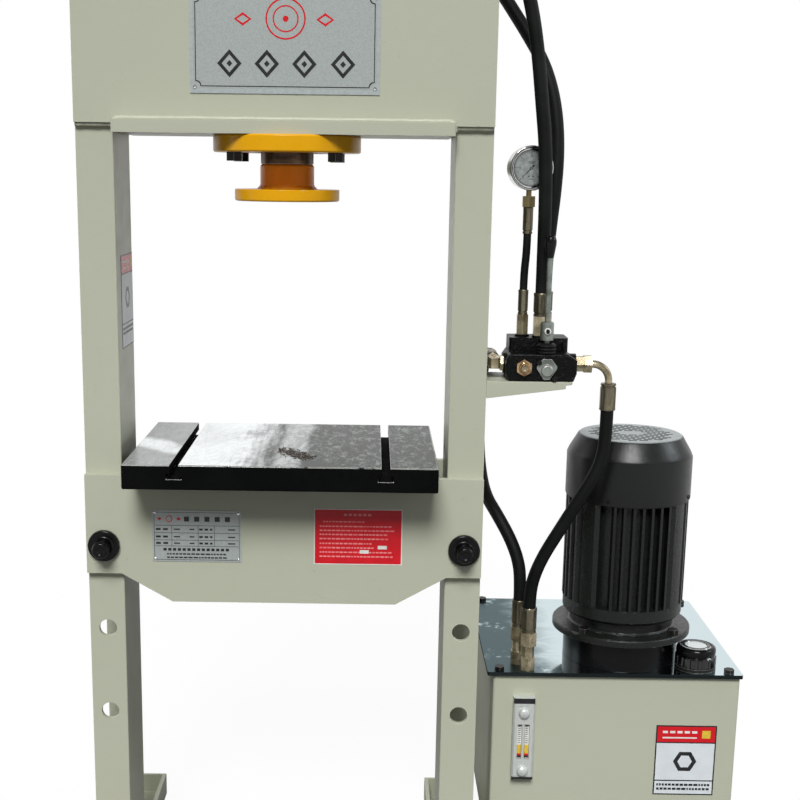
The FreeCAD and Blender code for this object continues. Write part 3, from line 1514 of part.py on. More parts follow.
def build():
    os.makedirs("parts", exist_ok=True)
    save("left_column", column(-1))
    save("right_column", column(1))
    save("left_foot", foot(-1))
    save("right_foot", foot(1))
    save("bed_front_plate", bed_side_plate(column_front - bed_plate))
    save("bed_rear_plate", bed_side_plate(-column_front))
    save("bed_ribs", bed_ribs())
    save("work_table", work_table())
    save("left_pin", locking_pin(-1))
    save("right_pin", locking_pin(1))
    save("crown_front_plate", crown_side_plate(crown_front, False))
    save("crown_rear_plate", crown_side_plate(-column_front, True))
    save("crown_floor_plate", crown_floor_plate())
    save("crown_cover_plate", crown_cover_plate())
    save("cylinder_flange", cylinder_flange())
    save("flange_bolts", flange_bolt_group())
    save("cylinder_barrel", cylinder_barrel())
    save("cylinder_elbows", cylinder_elbows())
    save("gland_bush", gland_bush())
    save("ram_rod", ram_rod())
    save("piston", piston())
    save("ram_foot", ram_foot())
    save("valve_shelf", valve_shelf())
    save("valve_body", valve_body())
    save("valve_spool", valve_spool())
    save("relief_plug", relief_plug())
    save("valve_end_cap", valve_end_cap())
    save("lever_bellows", lever_bellows())
    save("lever_socket", lever_socket())
    save("lever_rod", lever_rod())
    save("lever_knob", lever_knob())
    save("threaded_fittings", threaded_fittings())
    save("hose_ferrules", hose_ferrules())
    save("return_elbow", return_elbow())
    save("pressure_tube", pressure_tube())
    save("hose_upper", hose("upper", upper_route, hose_diameter))
    save("hose_lower", hose("lower", lower_route, hose_diameter))
    save("hose_gauge", hose("gauge", gauge_route, gauge_hose_diameter))
    save("hose_pressure", hose("pressure", pressure_route, hose_diameter))
    save("hose_return", hose("return", return_route, hose_diameter))
    save("gauge_case", gauge_case())
    save("gauge_bezel", gauge_bezel())
    save("gauge_glass", gauge_glass())
    save("gauge_needle", gauge_needle())
    save("tank_shell", tank_shell())
    save("tank_lid", tank_lid())
    save("power_pack_bolts", power_pack_bolts())
    save("level_gauge", level_gauge())
    save("filler_neck", filler_neck())
    save("filler_cap", filler_cap())
    save("tank_pipes", tank_pipes())
    save("motor_riser", motor_riser())
    save("motor_end_shield", motor_end_shield())
    save("motor_body", motor_body())
    save("fan_cowl", fan_cowl())
    save("cooling_fan", cooling_fan())
    save("rotor_shaft", rotor_shaft())
    save("shaft_coupling", shaft_coupling())
    save("gear_pump", gear_pump())
    save("terminal_box", terminal_box())


build()
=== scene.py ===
import json
from math import cos, radians, sin, tau

import bmesh
import bpy
from mathutils import Matrix, Vector
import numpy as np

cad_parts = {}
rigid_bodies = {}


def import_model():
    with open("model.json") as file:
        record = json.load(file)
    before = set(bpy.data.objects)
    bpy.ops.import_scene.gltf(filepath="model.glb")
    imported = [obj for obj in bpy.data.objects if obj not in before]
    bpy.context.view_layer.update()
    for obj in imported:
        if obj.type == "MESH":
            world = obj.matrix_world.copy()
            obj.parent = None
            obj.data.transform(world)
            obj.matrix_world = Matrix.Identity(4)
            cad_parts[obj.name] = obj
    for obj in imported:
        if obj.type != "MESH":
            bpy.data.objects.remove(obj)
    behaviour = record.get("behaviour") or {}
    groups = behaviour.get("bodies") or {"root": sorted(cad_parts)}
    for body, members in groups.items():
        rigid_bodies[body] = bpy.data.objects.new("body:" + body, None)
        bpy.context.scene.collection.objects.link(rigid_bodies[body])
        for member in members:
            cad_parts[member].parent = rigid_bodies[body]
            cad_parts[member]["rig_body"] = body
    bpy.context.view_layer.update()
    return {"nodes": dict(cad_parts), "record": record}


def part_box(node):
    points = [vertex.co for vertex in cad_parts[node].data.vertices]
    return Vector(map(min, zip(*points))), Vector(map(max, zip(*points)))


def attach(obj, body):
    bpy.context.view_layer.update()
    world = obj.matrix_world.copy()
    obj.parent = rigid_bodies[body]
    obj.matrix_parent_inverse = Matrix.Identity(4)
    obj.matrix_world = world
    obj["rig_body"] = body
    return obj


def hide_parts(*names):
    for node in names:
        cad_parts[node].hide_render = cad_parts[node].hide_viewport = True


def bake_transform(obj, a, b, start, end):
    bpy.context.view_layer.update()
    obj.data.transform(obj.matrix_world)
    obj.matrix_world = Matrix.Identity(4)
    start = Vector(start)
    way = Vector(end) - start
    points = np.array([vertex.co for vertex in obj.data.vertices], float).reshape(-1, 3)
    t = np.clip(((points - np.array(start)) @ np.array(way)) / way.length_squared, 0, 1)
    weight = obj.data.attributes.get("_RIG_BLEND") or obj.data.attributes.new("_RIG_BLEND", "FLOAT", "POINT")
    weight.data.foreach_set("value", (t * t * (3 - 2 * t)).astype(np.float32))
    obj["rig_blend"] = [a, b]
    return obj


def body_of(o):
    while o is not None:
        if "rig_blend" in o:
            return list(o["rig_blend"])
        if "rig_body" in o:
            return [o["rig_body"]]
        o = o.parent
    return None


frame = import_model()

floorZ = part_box("left_foot")[0].z
collection = bpy.context.scene.collection
slots = {part["node"]: part["material_slot"] for part in frame["record"]["subparts"]}


# Places are in millimetres from the floor, as the real press is measured.

def at(x, y, z):
    return Vector((x / 1000, y / 1000, z / 1000 + floorZ))


def placed(place, outward=(0, -1, 0), upward=(0, 0, 1)):  # a plane in millimetres: z outwards, y up
    out = Vector(outward).normalized()
    side = Vector(upward).cross(out).normalized()
    turn = Matrix((side, out.cross(side), out)).transposed().to_4x4()
    return Matrix.Translation(at(*place)) @ turn @ Matrix.Scale(0.001, 4)


def linear(value):
    value = value / 255
    return value / 12.92 if value < 0.04045 else ((value + 0.055) / 1.055) ** 2.4


def shade(colour):  # three numbers are a colour as the eye reads it, 0 to 255; all else stays as it is
    if isinstance(colour, tuple) and len(colour) == 3:
        return (*map(linear, colour), 1)
    return colour


# A signal is a socket whose maths is written as plain expressions.

class Signal:
    def __init__(self, tree, socket):
        self.tree = tree
        self.socket = socket

    def join(self, operation, *values):
        node = self.tree.nodes.new("ShaderNodeMath")
        node.operation = operation
        for socket, value in zip(node.inputs, values):
            feed(self.tree, socket, value)
        return Signal(self.tree, node.outputs[0])

    def __add__(self, other):
        return self.join("ADD", self, other)

    __radd__ = __add__

    def __sub__(self, other):
        return self.join("SUBTRACT", self, other)

    def __rsub__(self, other):
        return self.join("SUBTRACT", other, self)

    def __mul__(self, other):
        return self.join("MULTIPLY", self, other)

    __rmul__ = __mul__

    def above(self, other):
        return self.join("GREATER_THAN", self, other)

    def below(self, other):
        return self.join("LESS_THAN", self, other)

    def steps(self, low, high):  # 0 below low, 1 above high, smooth between
        node = self.tree.nodes.new("ShaderNodeMapRange")
        node.interpolation_type = "SMOOTHSTEP"
        for key, value in (("Value", self), ("From Min", low), ("From Max", high)):
            feed(self.tree, node.inputs[key], value)
        return Signal(self.tree, node.outputs[0])


def feed(tree, socket, value):
    if isinstance(value, Signal):
        tree.links.new(value.socket, socket)
    elif value is not None:
        socket.default_value = value


class Bench:
    def __init__(self, tree):
        self.tree = tree

    def add(self, kind, settings={}, inputs={}, output=0):
        node = self.tree.nodes.new(kind)
        for key, value in settings.items():
            setattr(node, key, value)
        for key, value in inputs.items():
            feed(self.tree, node.inputs[key], value)
        return Signal(self.tree, node.outputs[output])

    def other(self, signal, output):  # another output of the node that a signal comes from
        return Signal(self.tree, signal.socket.node.outputs[output])

    def rays(self):  # what the camera sees straight or through glass, and what a mirror sees
        camera = self.add("ShaderNodeLightPath", output="Is Camera Ray")
        plain = (camera + self.other(camera, "Is Transmission Ray")).above(0.5)
        return plain, self.other(camera, "Is Glossy Ray")


class Finish(Bench):
    def __init__(self, name, **fixed):
        self.material = bpy.data.materials.new(name)
        self.material.use_nodes = True
        super().__init__(self.material.node_tree)
        self.shader = self.tree.nodes["Principled BSDF"]
        self.place = self.add("ShaderNodeTexCoord", output=3)
        for key, value in fixed.items():
            self.give(key.replace("_", " "), value)

    def give(self, socket, value):
        feed(self.tree, self.shader.inputs[socket], value)

    def noise(self, scale, detail=3, rough=0.55, stretch=None, warp=0):
        vector = self.place
        if stretch:
            vector = self.add("ShaderNodeMapping", {}, {"Vector": self.place, "Scale": stretch})
        sizes = {"Vector": vector, "Scale": scale, "Detail": detail, "Roughness": rough, "Distortion": warp}
        return self.add("ShaderNodeTexNoise", {}, sizes)

    def axis(self, index, vector=None):
        return self.add("ShaderNodeSeparateXYZ", {}, {"Vector": vector or self.place}, index)

    def lookingUp(self):  # 1 on faces that look up, -1 on faces that look down
        return self.axis(2, self.add("ShaderNodeNewGeometry", output="Normal"))

    def edges(self):
        return self.add("ShaderNodeAttribute", {"attribute_name": "edge"}, {}, 2)

    def mix(self, factor, first, second):
        colours = {0: factor, 6: shade(first), 7: shade(second)}
        return self.add("ShaderNodeMix", {"data_type": "RGBA"}, colours, 2)

    def spot(self, x, y, reachX, reachY, ragged, lean):  # a ragged patch on a level face, in metres
        along = (self.axis(1) - y) * (1 / reachY)
        across = (self.axis(0) - x) * (1 / reachX) - along * lean
        return 1 - (across * across + along * along + ragged).steps(0.7, 1.15)

    def relief(self, *layers):  # (height, depth in metres) pairs, one bump on another
        normal = None
        for height, depth in layers:
            inputs = {"Strength": 1.0, "Distance": depth, "Height": height, "Normal": normal}
            normal = self.add("ShaderNodeBump", {}, inputs)
        self.give("Normal", normal)


class Grower(Bench):  # a geometry tree with named sizes
    def __init__(self, name, **kinds):
        super().__init__(bpy.data.node_groups.new(name, "GeometryNodeTree"))
        face = self.tree.interface
        face.new_socket("Geometry", in_out="INPUT", socket_type="NodeSocketGeometry")
        self.keys = {}
        for label, kind in dict(kinds, Finish="Material").items():
            socket = face.new_socket(label, in_out="INPUT", socket_type="NodeSocket" + kind)
            self.keys[label] = socket.identifier
        face.new_socket("Geometry", in_out="OUTPUT", socket_type="NodeSocketGeometry")
        self.entry = self.tree.nodes.new("NodeGroupInput")
        self.exit = self.tree.nodes.new("NodeGroupOutput")

    def size(self, label):
        return Signal(self.tree, self.entry.outputs[label])

    def close(self, geometry):
        whole = self.add("GeometryNodeRealizeInstances", {}, {"Geometry": geometry})
        shown = self.add("GeometryNodeSetMaterial", {}, {"Geometry": whole, "Material": self.size("Finish")})
        feed(self.tree, self.exit.inputs[0], shown)

    def grow(self, name, base, finish, **sizes):
        modifier = base.modifiers.new("grow", "NODES")
        modifier.node_group = self.tree
        for label, value in dict(sizes, Finish=finish.material).items():
            modifier[self.keys[label]] = value
        mesh = bakedMesh(base, name)
        base.modifiers.remove(modifier)
        bpy.data.objects.remove(base)
        return linked(name, mesh)


def linked(name, data):
    piece = bpy.data.objects.new(name, data)
    collection.objects.link(piece)
    return piece


def bakedMesh(piece, name):
    bpy.context.view_layer.update()
    graph = bpy.context.evaluated_depsgraph_get()
    mesh = bpy.data.meshes.new_from_object(piece.evaluated_get(graph), depsgraph=graph)
    mesh.name = name
    return mesh


def built(name, bm):
    mesh = bpy.data.meshes.new(name)
    bm.to_mesh(mesh)
    bm.free()
    return linked(name, mesh)


def smoothed(bm, degrees):
    bm.normal_update()
    limit = radians(degrees)
    for face in bm.faces:
        face.smooth = True
    for edge in bm.edges:
        edge.smooth = len(edge.link_faces) == 2 and edge.calc_face_angle(0) <= limit


def rounded(bm, width, degrees):  # the new faces are marked, so that a finish can wear them and paint highlights on them
    layer = bm.faces.layers.float.new("edge")
    bm.normal_update()
    limit = radians(degrees)
    sharp = [edge for edge in bm.edges if len(edge.link_faces) == 2 and edge.calc_face_angle(0) > limit]
    if width > 0 and sharp:
        made = bmesh.ops.bevel(bm, geom=sharp, offset=width, segments=2, profile=0.5, affect="EDGES",
            clamp_overlap=True)
        for face in made["faces"]:
            face[layer] = 1


def faceWeighted(name, piece):  # flat faces keep flat shading beside their rounded edges
    modifier = piece.modifiers.new("weighted", "WEIGHTED_NORMAL")
    modifier.keep_sharp = True
    baked = bakedMesh(piece, name)
    bpy.data.objects.remove(piece)
    return linked(name, baked)


def settle(piece, finish, slotName, body="frame", *nodes):
    piece.data.materials.clear()
    piece.data.materials.append(finish.material)
    if body:
        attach(piece, body)
    if nodes:
        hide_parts(*nodes)
    return piece


def bodyOf(node):
    return body_of(frame["nodes"][node])[0]


dressPlan = {"merge": 2e-6, "flatWithin": 0.4, "sharpOver": 32, "smoothWithin": 40}  # metres and degrees


def dress(finish, edges, rides=True):  # edges gives each node the width of its rounded edges, in millimetres
    for node, edge in edges.items():
        name = "dressed_" + node
        flat = radians(dressPlan["flatWithin"])
        bm = bmesh.new()
        bm.from_mesh(frame["nodes"][node].data)
        bmesh.ops.remove_doubles(bm, verts=bm.verts, dist=dressPlan["merge"])
        bmesh.ops.dissolve_limit(bm, angle_limit=flat, verts=bm.verts, edges=bm.edges)
        rounded(bm, edge / 1000, dressPlan["sharpOver"])
        smoothed(bm, dressPlan["smoothWithin"])
        piece = faceWeighted(name, built(name, bm))
        settle(piece, finish, slots[node], bodyOf(node) if rides else None, node)
    return piece


def skin(bm, low, high):  # faces between two rings, one of which may be a single point
    count = max(len(low), len(high))
    for step in range(count):
        after = (step + 1) % count
        if len(low) == 1:
            bm.faces.new((low[0], high[after], high[step]))
        elif len(high) == 1:
            bm.faces.new((low[step], low[after], high[0]))
        else:
            bm.faces.new((low[step], low[after], high[after], high[step]))


def lathe(bm, profile, plane, segments, dents=None):  # (radius, height) in millimetres, and a dent's depth
    rings = []
    for radius, height, *dent in profile:
        if radius < 1e-4:
            rings.append([bm.verts.new(plane @ Vector((0, 0, height)))])
            continue
        ring = []
        for step in range(segments):
            angle = tau * step / segments
            reach = radius - (dent[0] * dents(angle) if dent else 0)
            place = Vector((reach * cos(angle), reach * sin(angle), height))
            ring.append(bm.verts.new(plane @ place))
        rings.append(ring)
    for low, high in zip(rings, rings[1:]):
        skin(bm, low, high)


def turned(name, profile, plane, segments, finish, slotName, body, degrees=35):
    bm = bmesh.new()
    lathe(bm, profile, plane, segments)
    bmesh.ops.remove_doubles(bm, verts=bm.verts, dist=1e-6)
    if degrees:
        smoothed(bm, degrees)
    settle(built(name, bm), finish, slotName, body)


def slab(bm, outline, low, high, plane):  # an outline, anticlockwise, given its thickness
    bottom = [bm.verts.new(plane @ Vector((u, v, low))) for u, v in outline]
    top = [bm.verts.new(plane @ Vector((u, v, high))) for u, v in outline]
    bm.faces.new(bottom[::-1])
    bm.faces.new(top)
    for step in range(len(outline)):
        after = (step + 1) % len(outline)
        bm.faces.new((bottom[step], bottom[after], top[after], top[step]))


def band(bm, outer, inner, low, high, plane):  # a closed strip between two outlines
    rings = [[bm.verts.new(plane @ Vector((u, v, height))) for u, v in outline]
             for outline, height in ((outer, low), (outer, high), (inner, high), (inner, low))]
    for first, second in zip(rings, rings[1:] + rings[:1]):
        skin(bm, first, second)


def oblong(u0, v0, u1, v1):
    return [(u0, v0), (u1, v0), (u1, v1), (u0, v1)]


def panel(halfU, halfV):
    return oblong(-halfU, -halfV, halfU, halfV)


def ringOf(u, v, radius, sides):
    turns = [tau * step / sides for step in range(sides)]
    return [(u + radius * cos(turn), v + radius * sin(turn)) for turn in turns]


def hoop(u, v, outer, inner, sides):
    return (ringOf(u, v, outer, sides), ringOf(u, v, inner, sides))


def notched(halfU, halfV, notch):  # an oblong whose corners are scooped out in five steps
    points = []
    corners = ((halfU, -halfV, 180), (halfU, halfV, 270), (-halfU, halfV, 0), (-halfU, -halfV, 90))
    for cornerU, cornerV, start in corners:
        for step in range(6):
            angle = radians(start - 90 * step / 5)
            points.append((cornerU + notch * cos(angle), cornerV + notch * sin(angle)))
    return points


# Camera

cameraPlan = {"place": (140.7, -2225.9, 1230.7), "yaw": -0.0054, "pitch": 0.2090, "roll": 0.0126,
    "lens": 59.98, "sensor": 36.0, "shift": (0.0469, 0.0711)}


def makeCamera(plan):
    yaw, pitch, roll = plan["yaw"], plan["pitch"], plan["roll"]
    level = Vector((cos(yaw), -sin(yaw), 0))
    ahead = Vector((sin(yaw), cos(yaw), 0))
    upright = Vector((0, 0, 1))
    forward = ahead * cos(pitch) - upright * sin(pitch)
    lifted = ahead * sin(pitch) + upright * cos(pitch)
    right = level * cos(roll) + lifted * sin(roll)
    top = lifted * cos(roll) - level * sin(roll)
    camera = bpy.data.cameras.new("viewer")
    camera.lens = plan["lens"]
    camera.sensor_width = plan["sensor"]
    camera.shift_x, camera.shift_y = plan["shift"]
    piece = linked("viewer", camera)
    turn = Matrix((right, top, -forward)).transposed().to_4x4()
    piece.matrix_world = Matrix.Translation(at(*plan["place"])) @ turn
    bpy.context.scene.camera = piece


# Light and floor: a soft lamp high in front, a broad one at the left, a cool one for the motor, and a dim sky

lightPlan = {
    "key": {"place": (-407, -4656, 5415), "target": (0, 0, 900), "spread": 21, "strength": 3.2},
    "side": {"place": (-4000, 700, 1500), "target": (0, 0, 900), "size": 3, "power": 34, "tint": (1, 1, 1)},
    "cool": {"place": (4200, -50, 3100), "target": (603, 99, 700), "size": 1.5, "power": 46,
             "tint": (0.86, 0.95, 1)},
    "skyLow": 0.05, "skyHigh": 0.32, "mirrorFront": 0.3, "mirrorBack": 1, "mirrorRight": 0.75,
    "mirrorTop": 0.4}
floorPlan = {"reach": 14, "seen": 0.86, "bounce": 0.16, "clouds": 0.02, "mirrored": 0.35, "lift": 0.94,
    "fadeStart": 1.6, "fadeEnd": 4.5}


def makeLamp(name, plan):
    if "spread" in plan:
        lamp = bpy.data.lights.new(name, "SUN")
        lamp.angle = radians(plan["spread"])
        lamp.energy = plan["strength"]
    else:
        lamp = bpy.data.lights.new(name, "AREA")
        lamp.shape = "SQUARE"
        lamp.size = plan["size"]
        lamp.energy = plan["power"]
        lamp.color = plan["tint"]
    piece = linked(name, lamp)
    piece.visible_camera = False
    place = at(*plan["place"])
    turn = (at(*plan["target"]) - place).to_track_quat("-Z", "Y")
    piece.matrix_world = Matrix.Translation(place) @ turn.to_matrix().to_4x4()


def makeLight(plan):
    scene = bpy.context.scene
    scene.view_settings.view_transform = "Standard"
    world = bpy.data.worlds.new("studio")
    scene.world = world
    world.use_nodes = True
    bench = Bench(world.node_tree)
    plain, mirrored = bench.rays()
    direction = bench.add("ShaderNodeTexCoord")
    back = bench.add("ShaderNodeSeparateXYZ", {}, {"Vector": direction}, 1)
    right, high = bench.other(back, 0), bench.other(back, 2)
    front = plan["mirrorFront"]
    mirror = front + (plan["mirrorBack"] - front) * back.steps(0.1, 0.75)
    mirror = mirror.join("MAXIMUM", mirror, right.steps(0.2, 0.6) * plan["mirrorRight"])
    mirror = mirror * (1 - (1 - plan["mirrorTop"]) * high.steps(0.5, 0.9))
    soft = plan["skyLow"] + (plan["skyHigh"] - plan["skyLow"]) * high.steps(0, 0.7)
    lit = mirrored * mirror + (1 - mirrored) * soft
    sky = world.node_tree.nodes["Background"]
    sky.inputs["Color"].default_value = (1, 1, 1, 1)
    feed(bench.tree, sky.inputs["Strength"], plain + (1 - plain) * lit)
    for name in ("key", "side", "cool"):
        makeLamp(name + "Lamp", plan[name])


def makeFloor(plan):
    reach = plan["reach"]
    bm = bmesh.new()
    bm.faces.new([bm.verts.new((x, y, floorZ)) for x, y in oblong(-reach, -reach, reach, reach)])
    floor = built("studioFloor", bm)
    finish = Finish("floorPale", Roughness=0.95)
    plain, mirrored = finish.rays()
    mirrored = (1 - plain) * mirrored
    tone = (finish.noise(1.5, 2) - 0.5) * plan["clouds"]
    pale, dim = (plan["seen"],) * 3 + (1,), (plan["bounce"],) * 3 + (1,)
    finish.give("Base Color", finish.mix(plain + mirrored * plan["mirrored"] + tone, dim, pale))
    across, along = finish.axis(0), finish.axis(1)
    square = across * across + along * along
    distance = square.join("POWER", square, 0.5)
    far = distance.steps(plan["fadeStart"], plan["fadeEnd"])
    glow = finish.add("ShaderNodeEmission", {}, {"Strength": 1.0})
    lift = plain * (plan["lift"] + (1 - plan["lift"]) * far) + mirrored * far
    matt = Signal(finish.tree, finish.shader.outputs[0])
    surface = finish.add("ShaderNodeMixShader", {}, {0: lift, 1: matt, 2: glow})
    feed(finish.tree, finish.tree.nodes["Material Output"].inputs["Surface"], surface)
    floor.data.materials.append(finish.material)


makeCamera(cameraPlan)
makeLight(lightPlan)
makeFloor(floorPlan)
print("camera, light and floor are in place")


# Finishes

def makeFramePaint():
    plan = {"paint": (181, 184, 165), "worn": (172, 174, 153), "grime": (132, 130, 106),
            "primer": (112, 66, 50), "pale": (206, 208, 192)}
    look = Finish("greyGreenPaint", IOR=1.45)
    broad = look.noise(2.2, 4)
    fine = look.noise(26, 5, 0.6)
    colour = look.mix((broad - 0.35) * 0.9 + (fine - 0.5) * 0.25, plan["paint"], plan["worn"])
    smear = look.noise(7, 4, 0.6, (1, 1, 0.25)).steps(0.62, 0.82)
    colour = look.mix(smear * 0.22, colour, plan["grime"])
    specks = look.noise(150, 2).steps(0.72, 0.76) * look.noise(9, 2).steps(0.5, 0.62)
    colour = look.mix(specks * 0.5, colour, plan["grime"])
    # painted highlight and wear: the rounded edges turn paler, partly as worn paint, partly as a painted edge
    # highlight
    colour = look.mix(look.edges() * 0.35, colour, plan["pale"])
    chips = look.edges() * look.noise(60, 4).steps(0.66, 0.70)
    bare = (0 - look.lookingUp()).steps(0.7, 0.95) * look.noise(3.1, 3).steps(0.52, 0.6)
    colour = look.mix(chips * 0.7 + bare * 0.8, colour, plan["primer"])
    look.give("Base Color", colour)
    look.give("Roughness", 0.42 + (fine - 0.5) * 0.25)
    look.relief((look.noise(420, 2), 0.0001), (look.noise(38, 3), 0.0003))
    return look


def makeTableSteel():
    plan = {"bright": (250, 254, 255), "dull": (30, 38, 30), "scuff": (150, 158, 150),
            "film": (40, 44, 38), "rust": (34, 22, 15), "rustPale": (214, 206, 196),
            "flank": (6, 7, 7), "flankWorn": (16, 17, 17), "line": (190, 192, 186)}
    look = Finish("planedSteel", IOR=1.22, Specular_IOR_Level=0.25)
    top = look.axis(2).above(-0.0012)
    across, along = look.axis(0), look.axis(1)
    cloud = look.noise(5.5, 5, 0.62, (1, 0.5, 1), 0.8)
    scrape = look.noise(6, 5, 0.6, (14, 1, 1))
    fine = look.noise(110, 4, 0.7, (1, 0.3, 1), 0.6)
    wisp = look.noise(16, 6, 0.68, (1, 0.3, 1), 2.2)
    wisp = wisp.steps(0.44, 0.5) * (1 - wisp.steps(0.5, 0.56))
    bright = 1 - (across + (cloud - 0.5) * 0.16 + (scrape - 0.5) * 0.08).steps(-0.085, -0.005)
    offset = across - 0.012 + (cloud - 0.5) * 0.05
    streak = 1 - (offset * offset).steps(0.0001, 0.0009)
    strip = across.below(-0.167)
    # painted glint: across the left strip a diagonal line stays bright while the rest of the strip is dimmed
    paintedGlint = along * 1.2 + across + 0.24 + (cloud - 0.5) * 0.2
    shine = bright * (1 - strip * (0.2 + 0.5 * (paintedGlint * paintedGlint).steps(0, 0.006))) + streak * 0.5
    shine = shine * 1.15 + (fine - 0.5) * (0.9 - bright * 0.45)
    steel = look.mix(shine, plan["dull"], plan["bright"])
    scuff = look.noise(75, 5, 0.75, (1, 0.4, 1), 0.5).steps(0.5, 0.62)
    scuff = scuff * (1 - bright) * (1 - cloud.steps(0.5, 0.6))
    steel = look.mix(scuff * 0.6, steel, plan["scuff"])
    dim = cloud.steps(0.5, 0.64) * 0.6 + wisp * 0.4 + (1 - bright) * (fine - 0.45) * 0.8
    steel = look.mix(dim * (1 - bright * 0.75), steel, plan["film"])
    ragged = (look.noise(120, 5, 0.75, (0.7, 0.35, 1), 0.4) - 0.5) * 6
    rust = look.spot(0.018, -0.085, 0.025, 0.045, ragged, -0.75)
    stain = look.spot(0.118, -0.045, 0.014, 0.028, ragged, 0)
    flecks = look.spot(0.010, -0.080, 0.028, 0.05, ragged, -0.75)
    flecks = flecks * look.noise(230, 4, 0.7).steps(0.56, 0.6)
    steel = look.mix(rust * 0.92 + stain * 0.5, steel, plan["rust"])
    steel = look.mix(flecks * 0.75, steel, plan["rustPale"])
    flank = look.mix(look.noise(12, 5).steps(0.4, 0.8) * 0.5, plan["flank"], plan["flankWorn"])
    worn = look.edges() * look.lookingUp().steps(0.2, 0.5) * look.noise(35, 3).steps(0.3, 0.45)
    look.give("Base Color", look.mix(worn * 0.9, look.mix(top, flank, steel), plan["line"]))
    look.give("Metallic", top * (shine * 0.92 + scuff * 0.3 - rust * 0.6) + worn * 0.2)
    look.give("Roughness", 0.24 + (fine - 0.5) * (0.5 - bright * 0.25) + rust * 0.6 + (1 - top) * 0.6)
    look.relief((scrape, 0.0002), (fine, 0.0002), (rust * ragged, 0.0004))
    return look


# A zone is a band of heights, in metres, given another colour, on all its faces or on those that look up; the
# zones below are painted light on the ram's neck, the cowl's grille and the filler cap's top.

def makePaint(name, colour, worn, bare, peel, coarse, rough=0.3, chip=0.66, level=0.3, edge=0.85, zone=None):
    look = Finish(name, IOR=1.5, Specular_IOR_Level=level)
    broad = look.noise(9, 4)
    fine = look.noise(coarse, 4, 0.6)
    tone = look.mix((broad - 0.3) * 1.1, colour, worn)
    if zone:
        height = look.axis(2)
        within = height.above(zone["from"]) * height.below(zone["to"])
        if "upward" in zone:
            within = within * look.lookingUp().steps(0.5, 0.9)
        tone = look.mix(within, tone, zone["colour"])
    # chips on the rounded edges take the bare colour: worn paint, and on the black castings also a painted
    # edge highlight
    chips = look.edges() * look.noise(70, 4).steps(chip, chip + 0.05)
    look.give("Base Color", look.mix(chips * edge, tone, bare))
    look.give("Roughness", rough + (fine - 0.5) * 0.22)
    look.relief((fine, peel), (look.noise(coarse * 4, 2), peel * 0.4))
    return look


# A foot is another colour below a height, in metres.

def makeMetal(name, light, dark, rough, scale, metallic, depth=0.00008, stretch=None, stain=None, foot=None):
    look = Finish(name, Metallic=metallic)
    broad = look.noise(scale, 5, 0.6, stretch)
    fine = look.noise(scale * 9, 3, 0.6, stretch)
    tone = look.mix(broad.steps(0.3, 0.7), light, dark)
    if stain:
        tone = look.mix(look.noise(scale * 2.3, 4).steps(0.55, 0.75) * 0.7, tone, stain)
    if foot:
        low = look.axis(2).below(foot["below"])
        tone = look.mix(low, tone, foot["colour"])
        look.give("Metallic", metallic - low * 0.3)
    look.give("Base Color", look.mix(look.edges() * 0.3, tone, (225, 222, 214)))
    look.give("Roughness", rough + (fine - 0.5) * 0.22)
    look.relief((fine, depth))
    return look


def makeRubber(name, colour, dust, scale, rough):
    look = Finish(name, IOR=1.45, Specular_IOR_Level=0.14)
    broad = look.noise(14, 4)
    fine = look.noise(scale * 12, 3, 0.7)
    scuff = look.noise(42, 4, 0.7).steps(0.66, 0.74) * 0.4
    look.give("Base Color", look.mix(broad.steps(0.45, 0.8) * 0.5 + scuff, colour, dust))
    look.give("Roughness", rough + (fine - 0.5) * 0.2)
    look.relief((fine, 0.00012), (look.noise(scale, 3), 0.0003))
    return look


def makeLidPaint():  # thick black enamel, so glossy that it mirrors what stands on it
    # painted reflection: the reflections on the black enamel are tinted pale blue
    tint = shade((222, 246, 252))
    look = Finish("lidGloss", IOR=12, Specular_Tint=tint, Coat_IOR=2.8, Coat_Roughness=0.02)
    top = look.lookingUp().steps(0.6, 0.95)
    cloud = look.noise(9, 5, 0.65, (1, 1.6, 1), 0.5)
    speck = look.noise(70, 4, 0.7)
    left = 1 - (look.axis(0) + (cloud - 0.5) * 0.12).steps(0.415, 0.5)
    mottle = left * (cloud + (speck - 0.5) * 0.9).steps(0.12, 0.4)
    dry = (cloud + (speck - 0.5) * 0.6).steps(0.66, 0.8) * 0.2
    look.give("Base Color", look.mix(speck, (4, 6, 6), (12, 18, 18)))
    look.give("Metallic", (1 - top) * 0.96 + top * (mottle * 0.9 + dry))
    look.give("Roughness", 0.05 + mottle * 0.32 + (1 - top) * 0.25)
    look.give("Coat Weight", top * (0.95 - mottle * 0.85))
    look.relief((look.noise(30, 3), 0.0002), (speck, 0.00002))
    return look


def makeGlass():
    look = Finish("clearGlass", Roughness=0.02, IOR=1.45, Transmission_Weight=1)
    haze = look.noise(30, 3)
    look.give("Base Color", look.mix(haze, (0.97, 0.98, 0.98, 1), (1, 1, 1, 1)))
    return look


def makePlain(name, light, dark, rough, scale, metallic=0, stretch=None):
    look = Finish(name, Metallic=metallic, Specular_IOR_Level=0.4)
    tone = look.noise(scale, 4, 0.6, stretch)
    look.give("Base Color", look.mix(tone.steps(0.3, 0.75), light, dark))
    look.give("Roughness", rough + (tone - 0.5) * 0.2)
    look.relief((look.noise(scale * 8, 2, 0.5, stretch), 0.00003))
    return look


